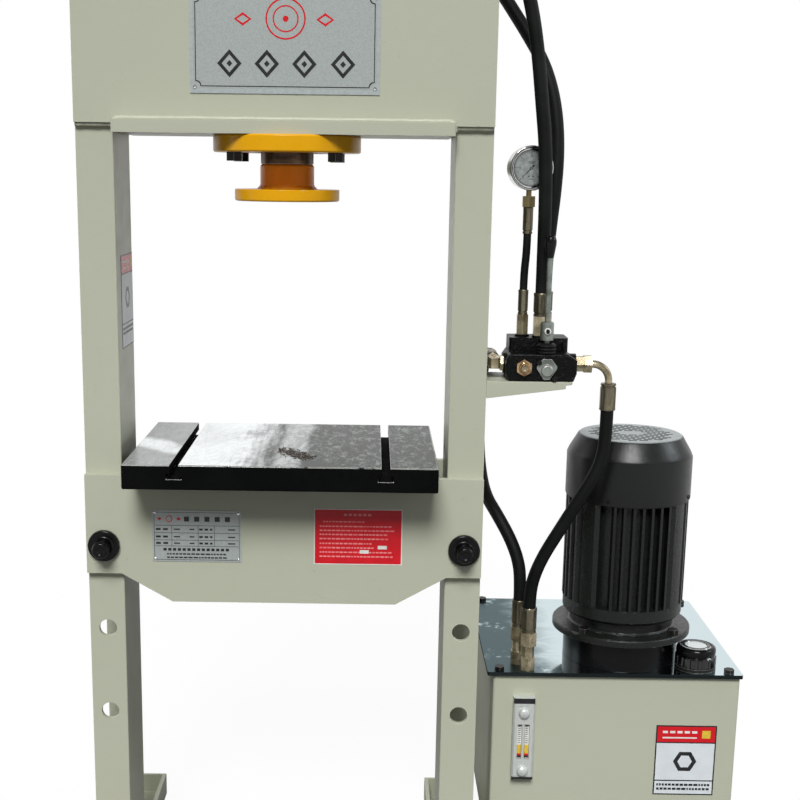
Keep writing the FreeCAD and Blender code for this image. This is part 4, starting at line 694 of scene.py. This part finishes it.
framePaint = makeFramePaint()
tableSteel = makeTableSteel()
lidPaint = makeLidPaint()
clearGlass = makeGlass()
# painted light: the band of the ram's neck is a lighter, more orange copy of the yellow, standing in for
# light bounced off the yellow disc into the flange's shadow, and partly for a thinner coat
yellowPaint = makePaint("orangeYellowPaint", (232, 170, 10), (212, 146, 10), (226, 210, 170), peel=0.00028,
    coarse=45, rough=0.32, chip=0.62, level=0.25, edge=0.7,
    zone={"from": 0.4262, "to": 0.4655, "colour": (255, 160, 34)})
# painted highlight and wear: on the black castings the pale bare colour on chipped edges stands partly for
# worn paint, partly for edge highlights
castBlack = makePaint("blackCasting", (19, 23, 20), (29, 33, 29), (104, 106, 102), peel=0.0009, coarse=110,
    chip=0.58, level=0.32, edge=0.7)
valveBlack = makePaint("paintedCasting", (4, 5, 5), (13, 15, 13), (132, 134, 130), peel=0.0022, coarse=62,
    rough=0.36, chip=0.42, level=0.14, edge=0.7)
# painted reflection: the upward faces of the cowl's grille are pale, standing in for the sky mirrored in the
# black bars
sheetBlack = makePaint("blackSheet", (10, 13, 12), (18, 21, 20), (120, 120, 116), peel=0.00008, coarse=60,
    rough=0.34, level=0.34, edge=0.5,
    zone={"from": 0.0065, "to": 0.02, "colour": (146, 152, 152), "upward": True})
blackPlastic = makePaint("mouldedBlack", (6, 6, 7), (12, 12, 13), (40, 40, 42), peel=0.00006, coarse=40,
    rough=0.24, chip=0.8, level=0.22)
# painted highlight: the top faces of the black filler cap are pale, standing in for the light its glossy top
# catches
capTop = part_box("filler_cap")[1].z
capPlastic = makePaint("glossyCap", (6, 6, 7), (10, 10, 11), (50, 50, 52), peel=0.00003, coarse=40, rough=0.1,
    chip=0.8, level=1,
    zone={"from": capTop - 0.004, "to": capTop - 0.0006, "colour": (206, 212, 212), "upward": True})
darkSteel = makeMetal("blackenedSteel", (40, 39, 37), (24, 23, 22), rough=0.42, scale=60, metallic=0.7)
ramSteel = makeMetal("oiledRam", (104, 82, 62), (44, 32, 24), rough=0.34, scale=24, metallic=0.7,
    depth=0.0001, stretch=(1, 1, 3))
zincFinish = makeMetal("passivatedZinc", (198, 187, 156), (126, 116, 92), rough=0.3, scale=45, metallic=0.78,
    depth=0.0001, stain=(150, 104, 80))
ferruleZinc = makeMetal("crimpedZinc", (134, 128, 108), (80, 75, 61), rough=0.36, scale=45, metallic=0.88,
    depth=0.0001, stretch=(1, 1, 0.2), stain=(112, 80, 58))
brassFinish = makeMetal("oldBrass", (196, 166, 124), (112, 84, 58), rough=0.2, scale=70, metallic=0.9,
    depth=0.0001, stain=(160, 112, 84))
brightSteel = makeMetal("turnedSteel", (200, 202, 200), (150, 152, 150), rough=0.24, scale=40, metallic=1,
    stretch=(1, 1, 8))
greySteel = makeMetal("castZincAlloy", (150, 156, 150), (102, 108, 102), rough=0.4, scale=60, metallic=0.7,
    depth=0.00015)
chromeFinish = makeMetal("chromePlate", (224, 224, 222), (190, 190, 188), rough=0.12, scale=30, metallic=1,
    depth=0.00003)
caseChrome = makeMetal("caseChrome", (224, 224, 222), (180, 180, 178), rough=0.14, scale=30, metallic=1,
    depth=0.00003, foot={"below": 0.4285, "colour": (176, 158, 116)})
silverPlate = makePlain("brushedPlate", (214, 218, 214), (184, 188, 184), rough=0.36, scale=60, metallic=0.3,
    stretch=(30, 1, 1))
dialWhite = makePlain("dialFace", (160, 167, 162), (122, 130, 127), rough=0.5, scale=140)
hoseRubber = makeRubber("hoseRubber", (13, 16, 14), (34, 37, 35), scale=60, rough=0.55)
bellowsRubber = makeRubber("bellowsRubber", (20, 21, 21), (40, 40, 39), scale=80, rough=0.42)
inks = {  # the slot and the finish of what is printed on plates, stickers and the dial
    "plate": ("plate_silver", makePlain("signPlate", (174, 181, 178), (154, 161, 158), 0.42, 500, 0.25)),
    "rim": ("plate_silver", makePlain("signRim", (186, 194, 194), (168, 176, 176), 0.36, 120, 0.4)),
    "white": ("sticker_white", makePlain("signWhite", (232, 232, 228), (216, 216, 210), 0.4, 30)),
    "grey": ("sticker_white", makePlain("signGrey", (218, 224, 227), (208, 214, 218), 0.4, 30)),
    "pink": ("sticker_white", makePlain("signPink", (240, 150, 150), (226, 110, 116), 0.4, 90)),
    "red": ("sticker_red", makePlain("signRed", (214, 18, 34), (196, 14, 28), 0.35, 30)),
    "black": ("black_paint", makePlain("signBlack", (22, 22, 24), (36, 36, 38), 0.4, 60)),
    "yellow": ("yellow_paint", makePlain("signYellow", (226, 196, 60), (196, 160, 60), 0.4, 90)),
}
print("finishes are made")


# Hoses: each route runs from fitting to fitting

hosePlan = {
    "hose_upper": {"length": 0.8117, "diameter": 0.022, "route": [
        (421, -20, 1043), (421, -20, 1104), (419.8, -28, 1188), (416.5, -33, 1272), (407, -33, 1350),
        (398.3, -31, 1426), (384, -30, 1501), (360, -27, 1580), (318, -21, 1646), (258, -10, 1688),
        (200, 0, 1700), (142, 0, 1700)]},
    "hose_lower": {"length": 0.9885, "diameter": 0.022, "route": [
        (430, 12, 1043), (430, 12, 1088), (434.5, 12.5, 1148), (440.5, 15, 1209), (443.5, 21, 1268),
        (441, 31, 1322), (433, 43, 1370), (418, 57, 1415), (394, 74, 1458), (368, 90, 1500), (336, 102, 1548),
        (285, 110, 1594), (222, 112, 1622), (155, 111, 1632), (90, 109, 1618), (32, 106, 1582),
        (0, 102, 1532), (0, 102, 1482)]},
    "hose_gauge": {"length": 0.0916, "diameter": 0.013, "route": [
        (392, -5, 1046.7), (392, -5, 1075.7), (395, -5, 1109.2), (395, -5, 1138.2)]},
    "hose_pressure": {"length": 0.3871, "diameter": 0.022, "route": [
        (537, -25, 850), (537, -25, 812), (533, -28, 771), (521, -30, 738), (496.4, -29, 695),
        (463.2, -20, 632.5), (443.9, -10, 593), (430.5, 0, 555), (425, 10, 520), (425, 10, 491)]},
    "hose_return": {"length": 0.6218, "diameter": 0.022, "route": [
        (346, 66, 927), (346, 114, 927), (346, 172, 905), (345, 216, 861), (344, 232, 800), (344, 218, 740),
        (346, 177, 697), (352, 124, 664), (370, 88, 639), (394, 66, 598.7), (408.5, 50, 560), (411, 42, 524),
        (411, 42, 495)]},
}


def makeHose(node, plan):
    data = bpy.data.curves.new(node + "_line", "CURVE")
    data.dimensions = "3D"
    data.bevel_depth = plan["diameter"] / 2
    data.bevel_resolution = 6
    data.resolution_u = 10
    data.use_fill_caps = True
    points = [at(*point) for point in plan["route"]]
    spline = data.splines.new("NURBS")
    spline.points.add(len(points) - 1)
    for target, point in zip(spline.points, points):
        target.co = (*point, 1)
    spline.order_u = 3
    spline.use_endpoint_u = True
    piece = settle(linked(node + "_line", data), hoseRubber, "hose_rubber", bodyOf(node), node)


for node, plan in hosePlan.items():
    makeHose(node, plan)
print("hoses are laid")


# Geometry trees for what repeats

def makeBeadTree():  # a weld bead along the edges of a mesh
    grower = Grower("weldBead", Radius="Float", Step="Float", Ripple="Float", Wander="Float")
    line = grower.add("GeometryNodeMeshToCurve", {}, {"Mesh": grower.size("Geometry")})
    even = grower.add("GeometryNodeResampleCurve", {"mode": "LENGTH"},
        {"Curve": line, "Length": grower.size("Step")})
    place = grower.add("GeometryNodeInputPosition")
    drift = grower.add("ShaderNodeTexNoise", {}, {"Vector": place, "Scale": 45, "Detail": 2}, 1)
    centred = grower.add("ShaderNodeVectorMath", {"operation": "SUBTRACT"}, {0: drift, 1: (0.5, 0.5, 0.5)})
    offset = grower.add("ShaderNodeVectorMath", {"operation": "SCALE"},
        {0: centred, "Scale": grower.size("Wander")})
    moved = grower.add("GeometryNodeSetPosition", {}, {"Geometry": even, "Offset": offset})
    lumps = grower.add("ShaderNodeTexNoise", {}, {"Vector": place, "Scale": 190, "Detail": 2})
    scale = 1 + (lumps - 0.5) * 2 * grower.size("Ripple")
    loop = {"Resolution": 10, "Radius": grower.size("Radius")}
    ring = grower.add("GeometryNodeCurvePrimitiveCircle", {}, loop)
    sweep = {"Curve": moved, "Profile Curve": ring, "Scale": scale, "Fill Caps": True}
    grower.close(grower.add("GeometryNodeCurveToMesh", {}, sweep))
    return grower


def makeStudTree():  # a head on every point, turned to that point's facing
    grower = Grower("studs", Head="Object", Size="Float")
    spots = grower.add("GeometryNodeMeshToPoints", {}, {"Mesh": grower.size("Geometry")})
    facing = grower.add("GeometryNodeInputNamedAttribute", {"data_type": "FLOAT_VECTOR"}, {"Name": "facing"})
    turn = grower.add("FunctionNodeAlignRotationToVector", {"axis": "Z"}, {"Vector": facing})
    head = grower.add("GeometryNodeObjectInfo", {}, {"Object": grower.size("Head")}, "Geometry")
    copies = {"Points": spots, "Instance": head, "Rotation": turn, "Scale": grower.size("Size")}
    grower.close(grower.add("GeometryNodeInstanceOnPoints", {}, copies))
    return grower


def makeRowTree():  # copies of a shape, each shifted and turned on from the last
    grower = Grower("rows", Count="Int", Turn="Float", Start="Float", Shift="Vector")
    spacing = {"Count": grower.size("Count"), "Offset": grower.size("Shift")}
    line = grower.add("GeometryNodeMeshLine", {}, spacing)
    angle = grower.size("Start") + grower.add("GeometryNodeInputIndex") * grower.size("Turn")
    turn = grower.add("ShaderNodeCombineXYZ", {}, {"Z": angle})
    copies = {"Points": line, "Instance": grower.size("Geometry"), "Rotation": turn}
    grower.close(grower.add("GeometryNodeInstanceOnPoints", {}, copies))
    return grower


beadTree = makeBeadTree()
studTree = makeStudTree()
rowTree = makeRowTree()
beadPlan = {"Step": 0.0016, "Ripple": 0.28, "Wander": 0.0016}


def weld(name, runs, radius, closed=False, finish=framePaint, slotName="frame_paint", body="frame"):
    bm = bmesh.new()
    for run in runs:
        verts = [bm.verts.new(at(*point)) for point in run]
        for first, second in zip(verts, verts[1:] + (verts[:1] if closed else [])):
            bm.edges.new((first, second))
    piece = beadTree.grow(name, built(name + "_path", bm), finish, Radius=radius / 1000, **beadPlan)
    for face in piece.data.polygons:
        face.use_smooth = True
    settle(piece, finish, slotName, body)


def ringRun(z, radius):
    return [(x, y, z) for x, y in ringOf(0, 0, radius, 48)]


def makeHead(name, profile, sides=16):
    bm = bmesh.new()
    lathe(bm, profile, Matrix.Scale(0.001, 4), sides)
    smoothed(bm, 35)
    return built(name, bm)


heads = {  # profiles for a head of radius 1
    "dome": makeHead("domeHead", [(1, -0.4), (1, 0.12), (0.82, 0.42), (0.5, 0.58), (0, 0.62)]),
    "socket": makeHead("socketHead", [(1, -0.4), (1, 0.85), (0.9, 1), (0.56, 1), (0.5, 0.5), (0, 0.45)], 18),
    "pan": makeHead("panHead", [(1, -0.4), (1, 0.35), (0.85, 0.6), (0.34, 0.66), (0.2, 0.3), (0, 0.28)]),
}


# Each spot holds a place, and a facing where it isn't the common one.

def studs(name, kind, radius, spots, finish, slotName, body="frame", facing=(0, -1, 0)):
    mesh = bpy.data.meshes.new(name + "_spots")
    mesh.from_pydata([at(*place) for place, *way in spots], [], [])
    layer = mesh.attributes.new("facing", "FLOAT_VECTOR", "POINT")
    for value, (place, *way) in zip(layer.data, spots):
        value.vector = way[0] if way else facing
    base = linked(name + "_spots", mesh)
    settle(studTree.grow(name, base, finish, Head=heads[kind], Size=radius), finish, slotName, body)


def row(name, outline, low, high, plane, count, turn=0.0, start=0.0, shift=(0.0, 0.0, 0.0)):
    slotName, finish = inks["black"]
    bm = bmesh.new()
    slab(bm, outline, low, high, Matrix.Identity(4))
    sizes = {"Count": count, "Turn": turn, "Start": start, "Shift": shift}
    piece = rowTree.grow(name, built(name + "_one", bm), finish, **sizes)
    piece.data.transform(plane)
    settle(piece, finish, slotName)


def printed(name, ink, plane, low, high, shapes):  # thin shapes on a plate; a pair of outlines is a frame
    slotName, finish = inks[ink]
    bm = bmesh.new()
    for shape in shapes:
        if isinstance(shape, tuple):
            band(bm, *shape, low, high, plane)
        else:
            slab(bm, shape, low, high, plane)
    smoothed(bm, 30)
    settle(built(name, bm), finish, slotName)


def layered(name, plane, layers):  # each layer has its name, ink, underside, top and shapes
    for part, ink, low, high, shapes in layers:
        printed(name + "_" + part, ink, plane, low, high, shapes)


# Each solid gets its finish and its rounded edges

dress(framePaint, {
    "left_column": 1, "right_column": 1, "left_foot": 1, "right_foot": 1, "bed_ribs": 1,
    "cylinder_barrel": 1, "crown_floor_plate": 1, "crown_cover_plate": 1, "valve_shelf": 1,
    "tank_shell": 1, "bed_front_plate": 0.8, "bed_rear_plate": 0.8, "crown_front_plate": 0.8,
    "crown_rear_plate": 0.8})
dress(tableSteel, {"work_table": 0.7})
dress(blackPlastic, {
    "left_pin": 0.8, "right_pin": 0.8, "lever_knob": 0.6, "motor_riser": 0.9, "cooling_fan": 0.3})
dress(yellowPaint, {"cylinder_flange": 1.2, "ram_foot": 1.2})
dress(darkSteel, {"flange_bolts": 0.4, "power_pack_bolts": 0.4, "filler_neck": 0.4, "tank_pipes": 0})
dress(ramSteel, {"ram_rod": 0.8})
dress(brassFinish, {"gland_bush": 0.3, "relief_plug": 0.5})
dress(brightSteel, {"piston": 0.3, "valve_spool": 0.2, "rotor_shaft": 0.3, "shaft_coupling": 0.3})
dress(zincFinish, {
    "cylinder_elbows": 0.5, "threaded_fittings": 0.4, "return_elbow": 0.6, "pressure_tube": 0.3})
dress(valveBlack, {"valve_body": 2})
dress(greySteel, {"valve_end_cap": 0.8, "lever_socket": 0.5, "lever_rod": 0.3})
dress(caseChrome, {"gauge_case": 0.5})
dress(chromeFinish, {"gauge_bezel": 0.5})
dress(clearGlass, {"gauge_glass": 0.1})
dress(inks["black"][1], {"gauge_needle": 0.1})
dress(lidPaint, {"tank_lid": 0.8})
dress(silverPlate, {"level_gauge": 0.6})
dress(capPlastic, {"filler_cap": 0.9})
dress(castBlack, {"motor_end_shield": 0.9, "motor_body": 0.9, "gear_pump": 0.9, "terminal_box": 0.9})
dress(sheetBlack, {"fan_cowl": 0.6})
bellows = dress(bellowsRubber, {"lever_bellows": 0.5}, rides=False)  # it bends between valve and lever
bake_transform(bellows, "frame", "lever", start=at(428, -50, 949), end=at(428, -50, 964))
print("solids are dressed")


def makeWelds():
    crown = [[(-267, side * 86, 1297), (-267, side * 85, 1307), (-262, side * 84.5, 1312),
              (262, side * 84.5, 1312), (267, side * 85, 1307), (267, side * 86, 1297)] for side in (-1, 1)]
    weld("crown_floor_weld", crown, 4.2)
    under = [[(end * 271, side * 74, 1303), (end * 329, side * 74, 1303)]
             for side in (-1, 1) for end in (-1, 1)]
    weld("crown_column_weld", under, 4.6)
    base = [[(end * 329, -71.5, 44), (end * 268.5, -71.5, 44), (end * 268.5, 71.5, 44), (end * 329, 71.5, 44)]
            for end in (-1, 1)]
    weld("column_base_weld", base, 4)
    weld("barrel_weld", [ringRun(1571, 69.5)], 4.5, True)
    weld("ram_disc_weld", [ringRun(1206, 45)], 3.4, True, yellowPaint, "yellow_paint", "ram")


makeWelds()


# Crimped ferrules on the hoses' ends

ferrulePlan = {"lobes": 8, "dent": 1.1, "wide": 27, "segments": 64, "sleeves": [  # start, way, width, length
    ((421, -20, 1005), (0, 0, 1), 27, 38), ((430, 12, 1005), (0, 0, 1), 27, 38),
    ((425, 10, 446), (0, 0, 1), 27, 45), ((411, 42, 446), (0, 0, 1), 27, 49),
    ((346, 16, 927), (0, 1, 0), 27, 50), ((537, -25, 895), (0, 0, -1), 27, 45),
    ((0, 102, 1440), (0, 0, 1), 27, 42), ((100, 0, 1700), (1, 0, 0), 27, 42),
    ((392, -5, 1006), (0, 0, 1), 17, 40.7), ((395, -5, 1138.2), (0, 0, 1), 17, 43.4)]}


def makeFerrules(plan):
    def lobed(angle):
        return 0.5 + 0.5 * cos(plan["lobes"] * angle)

    bm = bmesh.new()
    for start, direction, diameter, length in plan["sleeves"]:
        across = (1, 0, 0) if direction[0] == 0 else (0, 1, 0)
        r = diameter / 2
        dent = plan["dent"] * diameter / plan["wide"]
        profile = [(r * 0.5, 0), (r * 0.9, 0), (r * 0.95, 0.6), (r * 0.95, 3.2), (r * 0.86, 4),
                   (r * 0.86, 5.4), (r * 0.97, 6.2, dent * 0.3), (r, 8, dent), (r, length * 0.55, dent),
                   (r, length - 6, dent), (r, length - 4.2, dent * 0.2), (r, length - 1),
                   (r * 0.95, length), (r * 0.7, length)]
        lathe(bm, profile, placed(start, direction, across), plan["segments"], lobed)
    smoothed(bm, 38)
    piece = built("crimped_ferrules", bm)
    settle(piece, ferruleZinc, slots["hose_ferrules"], bodyOf("hose_ferrules"), "hose_ferrules")


makeFerrules(ferrulePlan)


# Pressure gauge: its dial is drawn round the centre of the case

gaugePlan = {"place": (395, -5, 1243.7), "turned": radians(10), "face": 7, "dial": 29.5, "tick": 26.8,
    "fine": 30, "coarse": 5, "sweep": 270, "numbers": ["0", "10", "20", "30", "40", "50", "60"],
    "numberSize": 5, "numberReach": 19}


def makeDial(plan):
    facing = (sin(plan["turned"]), -cos(plan["turned"]), 0)
    plane = placed(plan["place"], facing)
    face, radius, tick = plan["face"], plan["dial"], plan["tick"]
    fine, coarse = plan["fine"], plan["coarse"]
    low, high = face + 0.3, face + 0.55
    disc = [(radius, face + 0.02), (radius, low), (0, face + 0.35)]
    turned("dial_disc", disc, plane, 64, dialWhite, "dial_white", "frame", None)
    step = radians(-plan["sweep"] / fine)
    start = radians(90 + plan["sweep"] / 2)
    row("dial_fine_ticks", oblong(24.6, -0.22, tick, 0.22), low, high, plane, fine + 1, step, start)
    row("dial_main_ticks", oblong(22.6, -0.45, tick, 0.45), low, high, plane, fine // coarse + 1,
        step * coarse, start)
    marks = [hoop(0, 0, 29.4, 28, 64), hoop(0, 0, 27.3, 26.8, 64), ringOf(-3.6, -13.5, 1.3, 12),
             ringOf(3.6, -13.5, 1.3, 12), oblong(-6, 9.2, 6, 10.2), oblong(-4, 7.2, 4, 8),
             oblong(-5, -18, 5, -17.2)]
    printed("dial_marks", "black", plane, low, high, marks)
    slotName, finish = inks["black"]
    for index, label in enumerate(plan["numbers"]):
        angle = start + step * coarse * index
        letters = bpy.data.curves.new("dialNumber", "FONT")
        letters.body = label
        letters.size = plan["numberSize"]
        letters.extrude = 0.12
        letters.align_x = letters.align_y = "CENTER"
        text = linked("dialNumber", letters)
        mesh = bakedMesh(text, "dial_number_" + label)
        bpy.data.objects.remove(text)
        reach = plan["numberReach"]
        spot = Vector((reach * cos(angle), reach * sin(angle), high))
        mesh.transform(plane @ Matrix.Translation(spot))
        settle(linked("dial_number_" + label, mesh), finish, slotName)


makeDial(gaugePlan)
print("ferrules and gauge are made")


# Small parts of the power pack and the valve

screwPlan = {"cowl": (603, 99, 685), "cowlReach": 110, "cowlTurns": (-28, 62, 152, 242), "boxInset": 0.009,
    "cap": (428, 921), "capReach": 13, "capStands": 5.6, "plug": (391, 925), "plugSinks": 0.5,
    "lever": (428, -61, 984)}


def makeScrews(plan):
    x, y, z = plan["cowl"]
    reach, inset = plan["cowlReach"], plan["boxInset"]
    cowl = []
    for turn in plan["cowlTurns"]:
        way = (sin(radians(turn)), -cos(radians(turn)), 0)
        cowl.append(((x + reach * way[0], y + reach * way[1], z), way))
    studs("cowl_screws", "pan", 3.6, cowl, darkSteel, "dark_steel")
    low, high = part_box("terminal_box")
    corners = [((x * 1000, high.y * 1000, (z - floorZ) * 1000),)
               for x in (low.x + inset, high.x - inset) for z in (low.z + inset, high.z - inset)]
    studs("terminal_screws", "pan", 3.4, corners, zincFinish, "zinc", facing=(0, 1, 0))
    x, z = plan["plug"]
    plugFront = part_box("relief_plug")[0].y * 1000 - plan["plugSinks"]
    studs("relief_screw", "socket", 5.6, [((x, plugFront, z),)], zincFinish, "brass")
    x, z = plan["cap"]
    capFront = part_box("valve_end_cap")[0].y * 1000 + plan["capStands"]
    cap = [((x - turn * plan["capReach"], capFront, z + turn * plan["capReach"]),) for turn in (1, -1)]
    studs("end_cap_screws", "socket", 4.2, cap, darkSteel, "dark_steel")
    x, y, z = plan["lever"]
    # painted highlight: the bright steel ring round the socket screw is drawn in flat white ink
    rim = [(5.6, -3), (5.6, 0.6), (5, 1.1), (3.6, 1.1), (3.2, 0.7), (3.2, -3)]
    turned("socket_screw_ring", rim, placed((x, y, z)), 28, inks["white"][1], "bright_steel", "lever")
    studs("socket_screw", "socket", 3.1, [((x, y - 0.2, z),)], darkSteel, "dark_steel", "lever")


def makeCapCollar():  # the broad rounded rim round the filler cap's dished top
    low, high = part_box("filler_cap")
    middle = (low + high) * 500
    plane = placed((middle.x, middle.y, (high.z - floorZ) * 1000), (0, 0, 1), (0, 1, 0))
    profile = [(26.6, -15), (33.6, -15), (34.6, -13), (34.6, -6.5), (33.8, -3.6), (31.8, -1.6), (28, -0.8),
               (26.6, -1.4), (26.6, -15)]
    turned("cap_collar", profile, plane, 64, blackPlastic, slots["filler_cap"], bodyOf("filler_cap"))


makeScrews(screwPlan)
makeCapCollar()

levelPlan = {"centre": 420, "half": 10.2, "low": 217, "high": 281, "depth": -8, "red": 4, "oil": 24,
    "redHigh": 3.4, "tube": 1.4, "ticks": 9, "pitch": 3.8, "capDepth": -16, "capHalf": 18.7}


def makeLevelWindow(plan):  # what shows behind the sight glass, from the top down
    plane = placed((plan["centre"], plan["depth"], 0))
    half, low, high = plan["half"], plan["low"], plan["high"]
    red, oil = low + plan["red"], low + plan["oil"]
    redTop = red + plan["redHigh"]
    layered("level", plane, [
        ("scale", "white", 0, 1.2, [oblong(-half, oil, half, high - 4)]),
        ("dark", "black", 0, 1.6, [oblong(-half, high - 4, half, high), oblong(-half, low, half, red)]),
        ("oil", "yellow", 0, 1.3, [oblong(-half, redTop, half, oil)]),
        ("red", "red", 0, 1.5, [oblong(-half, red, half, redTop)])])
    ticks = plane @ Matrix.Translation((0, oil + 4, 0))
    shift = (0.0, plan["pitch"], 0.0)
    for side, start, end in (("left", -8.6, -4.2), ("right", 4.2, 8.6)):
        row("level_ticks_" + side, oblong(start, -0.45, end, 0.45), 1.2, 1.5, ticks, plan["ticks"],
            shift=shift)
    upright = plane @ Matrix.Translation((0, 0, 1)) @ Matrix.Rotation(radians(-90), 4, "X")
    tube = [(0, low + 2), (plan["tube"], low + 2), (plan["tube"], high - 4), (0, high - 4)]
    # painted highlight: the glass tube is drawn in flat white ink
    turned("level_tube", tube, upright, 20, inks["white"][1], "glass", "frame", 40)
    capPlane = placed((plan["centre"], plan["capDepth"], 0))
    wide = plan["capHalf"]
    printed("level_caps", "black", capPlane, -2, 0.5,
            [oblong(-wide, 321.4, wide, 330.7), oblong(-wide, 177.9, wide, 182.4)])


makeLevelWindow(levelPlan)
print("screws, cap and level window are made")


# Signs: plates and stickers with plain generic marks in place of words

def bars(v, height, pieces):  # a row of short bars, given as (start, end) along the row
    return [oblong(start, v - height / 2, end, v + height / 2) for start, end in pieces]


def lines(left, right, v, height, pitch, count, gap=1.4):  # greeked lines: bars of changing length
    shapes = []
    for line in range(count):
        u = left
        step = line
        while u < right - 3:
            long = 3 + 5 * ((step * 37 % 11) / 11)
            shapes += bars(v - pitch * line, height, [(u, min(u + long, right))])
            u += long + gap
            step += 3
    return shapes


def lozenge(u, v, wide, high):
    return [(u, v - high / 2), (u + wide / 2, v), (u, v + high / 2), (u - wide / 2, v)]


def pinned(name, kind, radius, plan, insetU, insetV, stands):  # a stud in each corner of a plate
    x, y, z = plan["place"]
    u, v = plan["halfU"] - insetU, plan["halfV"] - insetV
    corners = [((x + across, y - stands, z + along),) for across in (-u, u) for along in (-v, v)]
    studs(name, kind, radius, corners, chromeFinish, "chrome")


crownPlatePlan = {"place": (1.5, -82, 1428), "halfU": 147.5, "halfV": 77, "emblem": (1, 35)}
specPlatePlan = {"place": (-145, -84, 637.5), "halfU": 74, "halfV": 44, "rules": (18, 5.2, -7.2, -17.5),
    "columns": (-42, 2, 29), "line": 0.7}
redStickerPlan = {"place": (123.5, -84, 640), "halfU": 73.5, "halfV": 48, "edge": 1.6}
tankLabelPlan = {"place": (712, 0, 211.5), "facing": (0, -1, 0), "halfU": 54, "halfV": 66.5, "head": 31.5,
    "foot": 27.6, "edge": 2.4}
columnLabelPlan = {"place": (-270, 17, 1019), "facing": (1, 0, 0), "halfU": 51, "halfV": 77, "head": 30,
    "foot": 40, "edge": 2.4}


def makeCrownPlate(plan):
    u, v = plan["halfU"], plan["halfV"]
    x, y = plan["emblem"]
    dark = []
    for middle in (-86, -28, 30, 90):
        dark += [(lozenge(middle, -32, 38, 42), lozenge(middle, -32, 24, 27)), lozenge(middle, -32, 9, 10)]
    red = [hoop(x, y, 31, 28.6, 56), hoop(x, y, 20, 18, 48), ringOf(x, y, 4.5, 24)]
    red += [(lozenge(middle, 34, 27, 20), lozenge(middle, 34, 19, 12)) for middle in (-65, 62)]
    border = [(notched(u - 8.2, v - 10.2, 8), notched(u - 9.6, v - 11.6, 8))]
    layered("crown_plate", placed(plan["place"]), [
        ("rim", "rim", 0, 1.6, [(panel(u, v), panel(u - 5.5, v - 7))]),
        ("field", "plate", 0, 1.3, [panel(u - 5.4, v - 6.9)]), ("border", "black", 1.3, 1.5, border),
        ("dark", "black", 1.3, 1.5, dark), ("red", "red", 1.3, 1.5, red)])
    pinned("crown_plate_screws", "pan", 3.0, plan, 7.5, 9.5, 1.2)


def makeSpecPlate(plan):
    u, v, line = plan["halfU"], plan["halfV"], plan["line"]
    low, high = plan["rules"][-1], plan["rules"][0]
    marks = [(panel(u - 3, v - 3), panel(u - 3.7, v - 3.7))]
    marks += [oblong(-u + 3.7, height, u - 3.7, height + line) for height in plan["rules"]]
    marks += [oblong(x, low, x + line, high) for x in plan["columns"]]
    marks += bars(29.5, 8.5, [(x, x + 8.5) for x in (-21, -4, 13, 30, 47)])
    for height in (11.8, -1, -12.2):
        marks += bars(height, 3.4, [(-68, -60), (-56, -48), (4, 10), (13, 19), (22, 26)])
        marks += bars(height, 2.2, [(-38, -28), (-12, -4), (52, 64)])
    marks += bars(-23, 4.6, [(x, x + 5.4) for x in range(-56, 56, 8)])
    marks += lines(-50, 50, -30.8, 2.6, 6, 2)
    emblem = [hoop(-46, 29.5, 5.6, 4.4, 28), lozenge(-62, 29.5, 8, 6), lozenge(-30, 29.5, 8, 6)]
    layered("spec_plate", placed(plan["place"]), [
        ("field", "plate", 0, 0.9, [panel(u, v)]), ("marks", "black", 0.9, 1.1, marks),
        ("emblem", "red", 0.9, 1.1, emblem)])
    pinned("spec_plate_rivets", "dome", 2.6, plan, 4.5, 4.5, 0.7)


def makeRedSticker(plan):
    u, v, edge = plan["halfU"], plan["halfV"], plan["edge"]
    words = bars(38, 4, [(x, x + 5.5) for x in range(-24, 24, 8)])
    words += lines(-58, 10, 26, 2.2, 7.2, 1) + lines(-64, 60, 18, 2.2, 7.2, 2)
    for right, height in ((50, 4), (26, -11.5), (58, -26.5)):
        words += lines(-64, right, height, 2.4, 7.4, 2)
    layered("red_sticker", placed(plan["place"]), [
        ("edge", "white", 0, 0.5, [(panel(u, v), panel(u - edge, v - edge))]),
        ("field", "red", 0, 0.4, [panel(u - edge + 0.1, v - edge + 0.1)]), ("lines", "pink", 0.4, 0.5, words),
        ("boxes", "white", 0.5, 0.65, [oblong(33, -20.6, 48, -14.6), oblong(3, -28.4, 18, -22.4)])])


def makeLabel(name, plan):  # a red head, a pale field and lines at the foot
    u, v, head, foot, edge = plan["halfU"], plan["halfV"], plan["head"], plan["foot"], plan["edge"]
    scale = u / 54
    field = [oblong(-u + edge, -v + foot + edge / 2, u - edge, v - head - edge),
             oblong(-u + edge, -v + edge, u - edge, -v + foot - edge / 2)]
    dark = [hoop(0, (foot - head) / 2, 21 * scale, 13 * scale, 6)]
    dark += lines(-u + 6 * scale, u - 6 * scale, -v + foot - 8 * scale, 4.2 * scale, 8 * scale, 2, 1.6)
    pale = bars(v - head * 0.4, 4.4 * scale, [(x * scale, (x + 9) * scale) for x in (-42, -29, -16, -3, 10)])
    pale += bars(v - head * 0.74, 2.6 * scale, [(-42 * scale, 19 * scale)])
    square = [oblong(28 * scale, v - head * 0.76, 43 * scale, v - head * 0.3)]
    layered(name, placed(plan["place"], plan["facing"]), [
        ("edge", "black", 0, 0.4, [panel(u, v)]),
        ("head", "red", 0.4, 0.6, [oblong(-u + edge, v - head, u - edge, v - edge)]),
        ("field", "grey", 0.4, 0.6, field), ("dark", "black", 0.6, 0.75, dark),
        ("pale", "white", 0.6, 0.8, pale), ("square", "yellow", 0.6, 0.8, square)])


makeCrownPlate(crownPlatePlan)
makeSpecPlate(specPlatePlan)
makeRedSticker(redStickerPlan)
makeLabel("tank_label", tankLabelPlan)
makeLabel("column_label", columnLabelPlan)
print("signs are printed")

for head in heads.values():
    bpy.data.objects.remove(head)
